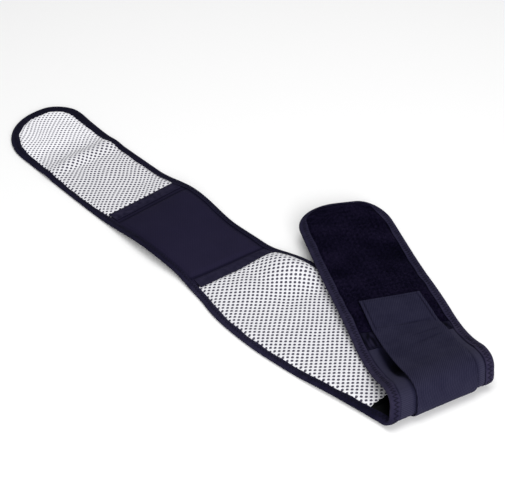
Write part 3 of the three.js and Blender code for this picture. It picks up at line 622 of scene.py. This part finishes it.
def air_mesh(name, first, last, replaces, give):
    reach = np.arange(-160, 261)
    i, j = np.meshgrid(reach, reach, indexing="ij")
    centre = i[..., None] * CELL_U + j[..., None] * CELL_V
    x, y = centre[..., 0], centre[..., 1]
    keep = (x > first - 30) & (x < last + 30) & (y > -20) & (y < 180)
    i, j, centre = i[keep], j[keep], centre[keep]
    row = row_of(centre[:, 0], centre[:, 1])
    keep = (edge_distance(centre[:, 0], centre[:, 1]) > 5.2) & (row > first) & (row < last)
    i, j, centre = i[keep], j[keep], centre[keep]
    side = np.array(SIDE)
    keys = np.stack([6 * i[:, None] + side[None, :, 0], 6 * j[:, None] + side[None, :, 1]], -1)
    unique, inverse = np.unique(keys.reshape(-1, 2), axis=0, return_inverse=True)
    inverse = inverse.reshape(len(i), 12)
    corner = stretched(unique[:, :1] / 6 * CELL_U + unique[:, 1:] / 6 * CELL_V, first, last, give)
    reached = (np.abs(side / 6 / np.array([HOLE_U, HOLE_V])) ** HOLE_POWER).sum(1) ** (1 / HOLE_POWER)
    shape = side / 6 / reached[:, None]
    top = mesh_top(corner[:, 0], corner[:, 1])
    flat, lifts = [corner, corner], [top, np.full(len(corner), LINING_LOW)]
    for scale, sunk in RINGS:
        size = from_table(centre[:, 0], HOLE_SIZE)[:, None, None]
        ring = centre[:, None] + (shape[None, :, :1] * CELL_U + shape[None, :, 1:] * CELL_V) * scale * size
        flat.append(stretched(ring.reshape(-1, 2), first, last, give))
        lifts.append(mesh_top(*flat[-1].T) - sunk)
    flat, lifts = np.concatenate(flat), np.concatenate(lifts)
    k, count = len(corner), len(i)
    first_ring = 2 * k + np.arange(count)[:, None] * 12 + np.arange(12)[None]
    loops = [inverse] + [first_ring + r * count * 12 for r in range(3)]
    faces, kinds = [], []
    # Lower walls and floors of the holes take the second material: painted shade on the walls, the backing seen through
    # below
    for a, b, kind in zip(loops[:-1], loops[1:], (0, 0, 1)):
        quads = np.stack([a, np.roll(a, -1, 1), np.roll(b, -1, 1), b], -1).reshape(-1, 4)
        faces += quads.tolist()
        kinds += [kind] * len(quads)
    faces += loops[3].tolist() + (inverse[:, ::-1] + k).tolist()
    kinds += [1] * (2 * count)
    a, b = inverse.ravel(), np.roll(inverse, -1, 1).ravel()
    pairs = np.stack([np.minimum(a, b), np.maximum(a, b)], -1)
    _, first_use, uses = np.unique(pairs, axis=0, return_index=True, return_counts=True)
    rim = first_use[uses == 1]
    walls = np.stack([b[rim], a[rim], a[rim] + k, b[rim] + k], -1)
    faces += walls.tolist()
    kinds += [0] * len(walls)
    # The mesh's painted light along the belt goes in as its shade
    vertices, tone = cloth_point(flat[:, 0], flat[:, 1], lifts), from_table(flat[:, 0], MESH_PAINTED_LIGHT)
    made = piece(name, vertices, faces, flat, ["air_mesh", "hole_backing_and_shade"], kinds, tone)
    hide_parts(replaces)


air_mesh("air_mesh_left", 3, SEAM_LEFT - 6, "mesh_panel_left", 0.85)
air_mesh("air_mesh_back", SEAM_RIGHT + 5, SEAM_ELASTIC - 0.5, "mesh_panel_back", 0.22)

# Heat pad: a crowned pad, pressed thin under the binding and the two tapes
row, along, across, inset = grid(
    rows(SEAM_LEFT + 0.2, SEAM_RIGHT - 0.2, 2.4, [SEAM_LEFT + TAPE_LEFT_WIDTH / 2, SEAM_RIGHT - TAPE_RIGHT_WIDTH / 2]),
    EDGE_INSETS, 2.6)
inset = np.minimum(inset, edge_distance(along, across))
from_seams = np.minimum(row - SEAM_LEFT - TAPE_LEFT_WIDTH / 2, SEAM_RIGHT - TAPE_RIGHT_WIDTH / 2 - row)
from_sides = inset - lining_width(along, across)
past_middle = row - (SEAM_LEFT + SEAM_RIGHT) / 2
pressed_by_tape = np.where(past_middle < 0, 8.0, 5.0)
free = np.minimum(freedom(from_sides - 0.8, 8), freedom(from_seams - pressed_by_tape, 7))
crown = np.minimum(smooth(from_sides / 60), smooth(from_seams / 70))
puckers = np.exp(-np.maximum(from_seams, 0) / 11) * waves(along * 0.3, across, 9, 5) * 0.20
over = mix(PRESSED_HIGH - 0.35, LINING_LOW + HEAT_PAD_THICKNESS - 0.3, free) + 0.75 * crown
over += free * (puckers + 0.16 * waves(along, across, 42, 11))
# Painted shade in the pressed groove along the binding and a painted shadow line beside each tape;
tape_shadow_line = bell(from_seams - pressed_by_tape + 1.4, 1.8)
shade = mix(0.46 + 0.08 * waves(along, across, 3.4, 12), 1, smooth(from_sides / 2.8)) * (1 - 0.8 * tape_shadow_line)
# painted light brightens the half towards the right seam
shade *= mix(1, 1.13, smooth(past_middle / 70))
heat_pad = sheet_piece(
    "heat_pad", along, across, LINING_LOW, np.maximum(over, LINING_LOW + 0.4), ["pad_cloth"], "heat_panel",
    shade=shade)


# Seam tapes
def tape(name, seam, width, replaces, seed, wrinkle, shadow):
    """A tape over a seam; shadow is the tone of its last few millimetres. Gives the rows of its two edges."""
    r, a, c, _ = grid(rows(seam - width / 2, seam + width / 2, 1.3), TAPE_INSETS, 1.6)
    side = width / 2 - np.abs(r - seam)
    round_off = 0.45 * rounded(side, 0.9)
    fold = np.sin(c / 2.9 + 1.6 * waves(r, c, 26, seed)) * 0.5 + 0.5 * waves(r * 0.8, c, 8, seed + 1)
    fold *= wrinkle * smooth(side / 4.0)
    top = PRESSED_HIGH + GAP + TAPE_CLOTH + fold - 0.25 * bell(side - TAPE_SEAM, 0.7) + 0.25
    shaded = smooth((r - seam - width / 2 + 4.5 + 1.5 * waves(r * 0.3, c, 11, seed + 2)) / 2.5)
    # Painted light on the wrinkles' crests, painted shade in their hollows, painted shadow over the last few
    # millimetres
    sheet_piece(
        name, a, c, PRESSED_HIGH + 0.12 + round_off * 0.6, top - round_off, ["tape_cloth"], replaces,
        shade=np.clip(1 + 1.1 * fold, 0.55, 1.3) * mix(1, shadow, shaded))
    return seam - width / 2, seam + width / 2


tape_edges = [
    tape("tape_left", SEAM_LEFT, TAPE_LEFT_WIDTH, "seam_tape_left", 21, 0.34, 0.80),
    tape("tape_right", SEAM_RIGHT, TAPE_RIGHT_WIDTH, "seam_tape_right", 31, 0.16, 1.0),
]

# Edge binding: a folded band all round, its face puckered along the zigzag stitching
perimeter = np.concatenate([[0], np.cumsum(np.linalg.norm(np.roll(outline, -1, 0) - outline, axis=1))])
TURN = perimeter[-1]


def outline_at(q):
    """Points at distances round the outline, and the directions inward there."""
    closed = np.concatenate([outline, outline[:1]])
    point, ahead, behind = (
        np.stack([np.interp(np.mod(x, TURN), perimeter, closed[:, k]) for k in (0, 1)], -1)
        for x in (q, q + 2.5, q - 2.5))
    d = ahead - behind
    d /= np.linalg.norm(d, axis=-1, keepdims=True)
    return point, np.stack([-d[..., 1], d[..., 0]], -1)


T = EDGE_THICKNESS
# The binding's cross section: inset from the edge and lift
SECTION = np.array([
    (BINDING_FACE, 0.12), (11.3, 0.0), (9.0, 0.0), (6.5, 0.0), (4.0, 0.0), (2.2, 0.04), (0.95, 0.45), (0.25, 1.2),
    (0.0, T / 2), (0.25, T - 1.2),
    (0.95, T - 0.45), (2.2, T - 0.04), (4.0, T), (6.5, T), (9.0, T), (11.3, T), (BINDING_FACE, T - 0.12),
    (BINDING_FACE, T - 0.65), (9.0, T - 0.8),
    (4.0, T - 0.8), (0.95, T - 1.2), (0.95, 1.2), (4.0, 0.8), (9.0, 0.8), (BINDING_FACE, 0.65),
])
count = int(TURN / 1.9)
q = np.arange(count) * TURN / count


def binding_swell(q, inset):
    """How far the binding's faces swell between the stitches."""
    across = (inset - (STITCH_IN + STITCH_OUT) / 2) / 5.2
    quilted = 0.10 * np.cos(2 * np.pi * q / ZIGZAG) * np.clip(1 - across ** 2, 0, 1)
    return quilted + 0.10 * waves(q, inset * 1.5, 13, 41)


point, normal = outline_at(q)
around = np.concatenate([[0], np.cumsum(np.linalg.norm(np.diff(SECTION, axis=0), axis=1))])
grid_q, section_inset = np.meshgrid(q, SECTION[:, 0], indexing="ij")
lift = np.broadcast_to(SECTION[:, 1], grid_q.shape).copy()
wander = 0.35 * waves(q, q * 0, 30, 43)[:, None] * (section_inset > 10)
swell = binding_swell(grid_q, section_inset)
outside_face, lining_face = (SECTION[:, 1] < 0.3), (SECTION[:, 1] > T - 0.3)
lift += np.where(lining_face[None], swell, 0) - np.where(outside_face[None], swell, 0)
width_here = lining_width(point[:, 0], point[:, 1])[:, None]
drawn = np.where(
    (SECTION[:, 1] > T / 2)[None], drawn_in(section_inset, width_here),
    drawn_in(section_inset, outside_width(normal[:, :1])))
point_of = point[:, None] + normal[:, None] * (drawn + wander)[..., None]
off_floor = surface(point_of[..., 0], point_of[..., 1])[..., 2]
lift = np.where(off_floor < 0.8, np.maximum(lift, 0), lift)
vertices = cloth_point(point_of[..., 0], point_of[..., 1], lift).reshape(-1, 3)
n, m = grid_q.shape
i, k = np.meshgrid(np.arange(n), np.arange(m), indexing="ij")
a, b = i * m + k, (i + 1) % n * m + k
c, d = (i + 1) % n * m + (k + 1) % m, i * m + (k + 1) % m
faces = np.stack([a, b, c, d], -1).reshape(-1, 4).tolist()
uv = np.stack([grid_q, np.broadcast_to(around, grid_q.shape)], -1).reshape(-1, 2)
# Painted light on the swelling puffs and the rounded outer rim, painted shade along the inner edge of the face
shade = 1 + 0.9 * swell
shade *= np.where(np.abs(section_inset - BINDING_FACE) < 0.1, 0.7, 1.0) * np.where(section_inset < 0.6, 1.12, 1.0)
# Painted light and shade along the binding, from the table
shade *= binding_table_at(point[:, 0], point[:, 1], 2)[:, None]
edge_uv = np.stack([grid_q, section_inset], -1).reshape(-1, 2)
binding = piece("binding", vertices, faces, uv, ["binding_cloth"], shade=shade.ravel(), edge_uv=edge_uv)
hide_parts("edge_binding")


# Stitches: small bars of thread, each sunk at both ends
def stitches(name, pairs, radius=0.24):
    """pairs: (along, across, lift, lift direction) of the two ends of each stitch."""
    starts, ends, out = (np.array(x) for x in zip(*pairs))
    at = lambda p, up: cloth_point(p[:, 0], p[:, 1], p[:, 2] + out * up)
    a, b = at(starts, -0.15), at(ends, -0.15)
    c, d = (at(mix(starts, ends, share), 0.10) for share in (0.22, 0.78))
    run = b - a
    run /= np.linalg.norm(run, axis=1, keepdims=True)
    up = at(starts, 1.0) - at(starts, 0.0)
    up /= np.linalg.norm(up, axis=1, keepdims=True)
    side = np.cross(run, up)
    side /= np.linalg.norm(side, axis=1, keepdims=True)
    r = radius / 1000
    cosines, sines = (np.array(x)[None, :, None] for x in ((1, 0, -1, 0), (0, 1, 0, -1)))
    rings = [p[:, None] + r * (cosines * side[:, None] + sines * up[:, None]) for p in (c, d)]
    vertices = np.concatenate([a[:, None], *rings, b[:, None]], 1)
    base = np.arange(len(a))[:, None, None] * 10
    k = np.arange(4)
    first = np.stack([np.zeros(4, int), 1 + (k + 1) % 4, 1 + k], -1)
    last = np.stack([np.full(4, 9), 5 + k, 5 + (k + 1) % 4], -1)
    middle = np.stack([1 + k, 1 + (k + 1) % 4, 5 + (k + 1) % 4, 5 + k], -1)
    faces = [face for part in (first, last, middle) for face in (base + part).reshape(-1, part.shape[1]).tolist()]
    uv = np.repeat(np.stack([starts[:, :2]], 1), 10, 1).reshape(-1, 2) + np.tile(np.arange(10) * 0.3, len(a))[:, None]
    made = piece(name, vertices.reshape(-1, 3), faces, uv, ["thread"])


def zigzag(out, from_along=-1e9):
    q = np.arange(0, TURN, ZIGZAG / 2)
    p, nrm = outline_at(q)
    inset = np.where(np.arange(len(q)) % 2 == 0, STITCH_IN, STITCH_OUT)
    sewn_at = drawn_in(inset, lining_width(p[:, 0], p[:, 1]) if out > 0 else outside_width(nrm[:, 0]))
    at = p + nrm * sewn_at[:, None]
    swell = binding_swell(q, inset)
    height = T + swell if out > 0 else -swell
    ends = [(*place, lift) for place, lift in zip(at, height)]
    return [(a, b, out) for a, b in zip(ends[:-1], ends[1:]) if a[0] > from_along]


def line_stitches(along, across, lift, out, length=2.6, gap=0.7):
    """Straight stitches along a line of cloth positions."""
    d, lift = np.concatenate([[0], np.cumsum(np.hypot(np.diff(along), np.diff(across)))]), np.broadcast_to(lift, along.shape)
    starts = np.arange(0.5, d[-1] - length, length + gap)
    ends = [[tuple(float(np.interp(x, d, v)) for v in (along, across, lift)) for x in (s, s + length)] for s in starts]
    return [(*pair, out) for pair in ends]


def seam_stitches(at_rows, inset, lift, out):
    """Straight stitches across the belt along some rows."""
    places = [grid([at_row], [inset, 15]) for at_row in at_rows]
    return [stitch for _, a, c, _ in places for stitch in line_stitches(a[0], c[0], lift, out)]


stitches("binding_stitches", zigzag(1) + zigzag(-1, SEAM_ELASTIC - 90), 0.26)

tape_rows = [at_row for low, high in tape_edges for at_row in (low + TAPE_SEAM, high - TAPE_SEAM)]
tape_lines = seam_stitches(tape_rows, 13.0, PRESSED_HIGH + GAP + TAPE_CLOTH + 0.02, 1)
stitches("tape_stitches", tape_lines)

# Elastic arm, with its inner end turned over the last holes of the mesh
row, along, across, inset = grid(
    rows(SEAM_ELASTIC + 0.2, SEAM_TAB - 0.2, 2.4, [SEAM_JOINING]), EDGE_INSETS, 2.8)
free = clear_of_binding(inset, SOFT_STEP) * (row < SEAM_JOINING - 1)
under = mix(PRESSED_LOW, ELASTIC_OUTSIDE, free)
ripple = 0.07 * waves(along, across, 24, 51) * free
width_share = (across - pattern_edge(0, along)) / (pattern_edge(1, along) - pattern_edge(0, along))
sunk = free * bell(row - SEAM_JOINING + 34, 30)
sunk *= bell(np.maximum(0.215 - width_share, 0), 0.05) * bell(np.maximum(width_share - 0.34, 0), 0.10)
dip = np.minimum(8.5 * sunk, np.interp(row, (900, 940, 971, 990, 1005), (20, 15, 7.0, 4.3, 3.6)))
# Painted light on the far strip; painted shade beside the binding, in the hollow and along both strap edges
shade = (1 + 0.18 * (width_share > 0.7)) * (0.25 + 0.75 * smooth((inset - BINDING_WIDTH - 0.2) / 2.4))
shade *= (1 - 0.97 * sunk) * (1 - 0.82 * bell(strap_beside(row, along, across), 3.2))
elastic = sheet_piece(
    "elastic_arm", along, across, under - ripple + dip, np.maximum(PRESSED_HIGH, under + dip + 1.2),
    ["inner_satin_and_shade", "elastic_cloth", "elastic_cloth"], "elastic_panel", face_parts=(0, 1, 2), shade=shade)
row, along, across, inset = grid(rows(SEAM_ELASTIC + 0.6, SEAM_ELASTIC + 11, 1.05), TAPE_INSETS)
past_seam = row - SEAM_ELASTIC
hem_top = LINING_LOW + MESH_THICKNESS + 0.75 - 1.35 * smooth((past_seam - 4) / 5) - 0.3 * bell(past_seam - 2.8, 0.8)
hem_top -= 0.3 * (1 - smooth(np.minimum(past_seam - 0.6, 11 - past_seam) / 0.8))
hem_top -= 1.1 * (1 - clear_of_binding(inset, SOFT_STEP + 1.5))
sheet_piece(
    "elastic_hem", along, across, np.maximum(hem_top - 0.75, PRESSED_HIGH + 0.02), hem_top, ["inner_satin_and_shade"],
    None)

# Gathered joining band between its two seam lines
row, along, across, inset = grid(rows(SEAM_JOINING + 0.2, SEAM_TAB - 0.2, 1.15), TAPE_INSETS, 1.0)
side = np.minimum(row - SEAM_JOINING, SEAM_TAB - row)
gather = np.sin(across / 1.25 + 1.8 * waves(row * 0.5, across, 19, 61)) * 0.45 + 0.5 * waves(row * 0.35, across, 6.5, 62)
gather *= 0.30 * (0.35 + 0.65 * smooth(side / 6))
press = 0.35 * bell(side - 2.0, 0.7)
low = PRESSED_LOW - GAP - JOINING_CLOTH - 0.35 - gather + press
# Painted light on the gathers' crests, painted shade in their hollows and along the pressed stitch lines
sheet_piece(
    "gathered_band", along, across, low, np.maximum(low + 0.4, PRESSED_LOW - 0.1), ["band_cloth"],
    "joining_band", shade=np.clip(0.50 + 2.4 * gather - 0.9 * press, 0.08, 1.3))
band_rows, band_low = (SEAM_JOINING + 2.0, SEAM_TAB - 2.0), PRESSED_LOW - GAP - JOINING_CLOTH - 0.05
stitches("band_stitches", seam_stitches(band_rows, 13.2, band_low, -1))

# Loop panel: brushed pile on the tab's outer face
PILE_INSETS = [1.1, 4, 8, 12.2, 12.8, 13.5, 14.3, 15.2, 16.5, 18, 20, 22]
row, along, across, inset = grid(rows(SEAM_TAB + 0.2, END, 1.25), PILE_INSETS, 1.3)
lean = (edge_distance(along + 2, across) - edge_distance(along - 2, across)) / 4
free = freedom(np.minimum(inset, edge_distance(along, across)) - outside_width(lean) - 2 * GAP + 0.1, SOFT_STEP + 0.6)
free *= smooth((row - SEAM_TAB) / 2.5)
# A shallow dip across the pile, darkened further by painted shade
pile_dip = bell(row - SEAM_TAB - 145 + 0.3 * (across - 136), 20) * smooth((across - 95) / 40)
pile = 0.16 * waves(along, across, 3.0, 71) + 0.12 * waves(along, across, 6.5, 72) + 0.10 * waves(along, across, 40, 73)
low = mix(PRESSED_LOW, -0.15, free) - free * (pile - 1.2 * pile_dip)
# Painted shade where the pile is pressed down by the binding and along both edges of the strap
shade = (1 - 0.62 * pile_dip) * np.clip(1 + 2.25 * pile, 0.3, 2.2) * mix(0.75, 1, free)
shade *= 1 - 0.62 * (row < STRAP_END + 1) * bell(strap_beside(row, along, across), 3.0)
plush = sheet_piece(
    "loop_pile", along, across, low, PLUSH_THICKNESS, ["plush_cloth"], "loop_panel", shade=shade)

# Tab backing and its hook patch, on the side that faces down
row, along, across, inset = grid(rows(SEAM_TAB + 0.2, END, 4), EDGE_INSETS, 5)
high = PRESSED_HIGH + 0.12 * waves(along, across, 45, 81) * clear_of_binding(inset, 4) - 0.1
backing = sheet_piece(
    "tab_lining", along, across, PLUSH_THICKNESS + GAP, high, ["shell_cloth"], "tab_backing")


def hooks(name, along, across, lift):
    """A field of small bent hooks on a patch's lining side."""
    n = along.size
    base = np.stack([along.ravel(), across.ravel(), np.broadcast_to(lift, along.shape).ravel()], -1)
    rings = []
    for up, lean, r in ((-0.1, 0.0, 0.24), (0.45, 0.10, 0.20), (0.72, 0.42, 0.17), (0.60, 0.72, 0.10)):
        for t in range(3):
            angle = 2 * math.pi * t / 3
            x, y = base[:, 0] + lean + r * math.cos(angle), base[:, 1] + r * math.sin(angle)
            rings.append(cloth_point(x, y, base[:, 2] + up))
    vertices = np.stack(rings, 1)
    k, b = np.arange(3), np.arange(n)[:, None, None] * 12
    after = (k + 1) % 3
    quads = np.concatenate([np.stack([s + k, s + after, s + 3 + after, s + 3 + k], -1) for s in (0, 3, 6)])
    caps = np.array([[2, 1, 0], [9, 10, 11]])
    faces = (b + quads).reshape(-1, 4).tolist() + (b + caps).reshape(-1, 3).tolist()
    made = piece(name, vertices.reshape(-1, 3), faces, np.repeat(base[:, :2], 12, 0), ["hook_cloth"])


row, along, across, inset = grid(rows(TAB_HOOK_START, TAB_HOOK_END, 2.6), [TAB_HOOK_INSET, TAB_HOOK_INSET + 1.2])
sheet_piece(
    "tab_hook_patch_base", along, across, PRESSED_HIGH + 0.1, PRESSED_HIGH + 0.55, ["hook_cloth"],
    "tab_hook_patch")
row, along, across, inset = grid(
    rows(TAB_HOOK_START + 2, TAB_HOOK_END - 2, 2.1), [TAB_HOOK_INSET + 2, TAB_HOOK_INSET + 4], 2.0)
hooks("tab_hooks", along, across, PRESSED_HIGH + 0.55)


# Tension strap and the hook patch under its free end
ROLL_END = FOLD_AT + ROLL_LENGTH / SKEW_COS


def strap_lift(row):
    share = np.clip((row - ROLL_END) / (SEAM_TAB - ROLL_END), 0, 1)
    return ROLL_RADIUS * from_table(share, STRAP_BRIDGE) + (HOOK_CLOTH + GAP) * smooth((share - 0.5) * 2)


def strap_grid(row_list, from_left, from_right, shares, inset=0.0):
    """Columns a fixed distance inside each side edge, and at shares between them."""
    a, b = len(from_left), len(from_left) + len(shares)
    row = np.repeat(np.asarray(row_list)[:, None], b + len(from_right), 1)
    along, across = row.copy(), np.zeros(row.shape)
    for _ in range(4):
        left, right = strap_sides(row, along)
        left, right = left + inset, right - inset
        across[:, :a] = left[:, :a] + from_left
        across[:, a:b] = mix(left[:, a:b], right[:, a:b], shares)
        across[:, b:] = right[:, b:] - from_right
        along = row + slant_at(row) * (across - FOLD_ACROSS)
    return row, along, across, np.minimum(across - left, right - across)


def settled(row):
    """The strap's lift, smoothed along its length."""
    return sum(strap_lift(row + d) for d in (-9, -6, -3, 0, 3, 6, 9)) / 7


SIDE_STEPS = [0, 0.12, 0.35, 0.8, 1.6, 2.8, 3.7, 4.2, 4.6, 5.0, 5.5, 6.4, 8]
CREASES = [(SEAM_TAB + 4.0, 0.42, 1.3), (SEAM_JOINING - 2, 0.34, 1.5), (SEAM_JOINING - 21, 0.26, 2.0)]
strap_rows = np.concatenate([rows(STRAP_START, STRAP_END - 1.2, 2.1), STRAP_END - np.array([0.8, 0.35, 0.12, 0])])
row, along, across, side = strap_grid(strap_rows, SIDE_STEPS, SIDE_STEPS[::-1], np.linspace(0.1, 0.9, 30))
end_side = np.minimum(STRAP_END - row, row - STRAP_START)
rim = np.minimum(side, end_side)
round_off = 0.45 * STRAP_CLOTH * rounded(rim, STRAP_CLOTH / 2)
sewn = smooth((row - SEAM_TAB + 4) / 5) * bell(side - STRAP_SEAM, 0.9)
hemmed = 0.22 * (1 - smooth((side - STRAP_SEAM) / 1.2)) - 0.40 * sewn
body = hemmed * smooth(rim / 0.8) + 0.06 * waves(along, across, 34, 91) + 0.04 * waves(along, across, 11, 92)
strap_share = (across - across[:, :1]) / (across[:, -1:] - across[:, :1])
for at_row, depth, reach in CREASES:
    crease = depth * bell(row - at_row - 1.5 * np.sin(across / 17), reach) * smooth((side - 6) / 6)
    body -= crease * mix(0.15, 1.3, smooth((strap_share - 0.3) / 0.35))
lift = -GAP - settled(row)
outer = lift - STRAP_CLOTH - body * smooth((row - STRAP_START - 60) / 40)
# Painted light on the part over the bend and on the raised hems; painted shade in the stitched grooves and creases
shade = 1.0 + 0.16 * smooth((SEAM_JOINING - 45 - row) / 40) + 0.35 * (hemmed + 0.40 * sewn) - 0.62 * sewn + body - hemmed
strap = sheet_piece(
    "strap", along, across, outer + round_off, lift - round_off, ["strap_cloth"],
    "tension_strap", shade=np.clip(shade, 0.3, 1.5))

strap_lines = []
r, a, c, _ = strap_grid(rows(SEAM_TAB + 2, STRAP_END - 4, 3), [STRAP_SEAM], [STRAP_SEAM], [])
for k in (0, 1):
    strap_lines += line_stitches(a[:, k], c[:, k], -GAP - settled(r[:, k]) - STRAP_CLOTH, -1)
for at_row in (SEAM_TAB + 2.0, STRAP_END - 4.2):
    r, a, c, _ = strap_grid([at_row], [STRAP_SEAM, 6], [6, STRAP_SEAM], np.linspace(0.1, 0.9, 12))
    strap_lines += line_stitches(a[0], c[0], -GAP - settled(r[0]) - STRAP_CLOTH + 0.1, -1)
stitches("strap_stitches", strap_lines, 0.25)

hook_from, hook_to = STRAP_END - STRAP_HOOK_INSET - STRAP_HOOK_LENGTH, STRAP_END - STRAP_HOOK_INSET
row, along, across, _ = strap_grid(rows(hook_from, hook_to, 2.6), [0], [0], np.linspace(0.03, 0.97, 30), STRAP_HOOK_INSET)
under = -GAP + 0.35 - settled(row)
sheet_piece(
    "strap_hook_patch_base", along, across, under, under + 0.30, ["hook_cloth"], "strap_hook_patch")
row, along, across, _ = strap_grid(
    rows(hook_from + 2, hook_to - 2, 2.1), [2], [2], np.linspace(0.04, 0.96, 40), STRAP_HOOK_INSET)
hooks("strap_hooks", along, across, -GAP + 0.6 - settled(row))

# Camera at the photograph's angle
def facing(made, location, direction):
    made.location = location
    made.rotation_mode = "QUATERNION"
    made.rotation_quaternion = direction.to_track_quat("-Z", "Y")


PHOTO_WIDTH, FOCAL_PIXELS = 505, 1200
camera_data = bpy.data.cameras.new("camera")
camera_data.sensor_width, camera_data.lens = 36.0, FOCAL_PIXELS / PHOTO_WIDTH * 36
camera_data.clip_start, camera_data.clip_end = 0.05, 50
camera = placed("camera", camera_data)
facing(camera, (1.0597, -0.8636, 0.9520), Vector((-0.62104, 0.51847, -0.58779)))
bpy.context.scene.camera = camera

# Pale floor and soft studio light
floor_mesh = bpy.data.meshes.new("floor")
floor_mesh.from_pydata([(x, y, -0.0004) for x, y in ((-6, -6), (6, -6), (6, 6), (-6, 6))], [], [(0, 1, 2, 3)])
floor = placed("floor", floor_mesh)
floor_material = bpy.data.materials.new("floor")
floor_material.use_nodes = True
set_sockets(floor_material.node_tree, floor_material.node_tree.nodes["Principled BSDF"], {
    "Base Color": (0.93, 0.93, 0.93, 1), "Roughness": 0.9, "Specular IOR Level": 0.1})
floor_mesh.materials.append(floor_material)


def soft_light(name, location, target, size, power):
    data = bpy.data.lights.new(name, "AREA")
    data.shape, data.size, data.energy = "DISK", size, power
    facing(placed(name, data), location, Vector(target) - Vector(location))


soft_light("key", (2.15, -1.0, 1.06), (0.1, 0, 0), 1.5, 52)
soft_light("top", (-0.2, 0.3, 2.6), (0, 0, 0), 2.2, 34)
world = bpy.data.worlds.new("studio")
world.use_nodes = True
set_sockets(world.node_tree, world.node_tree.nodes["Background"], {"Color": (1.0, 1.0, 1.0, 1), "Strength": 0.42})
bpy.context.scene.world = world
bpy.context.scene.view_settings.view_transform = "Standard"
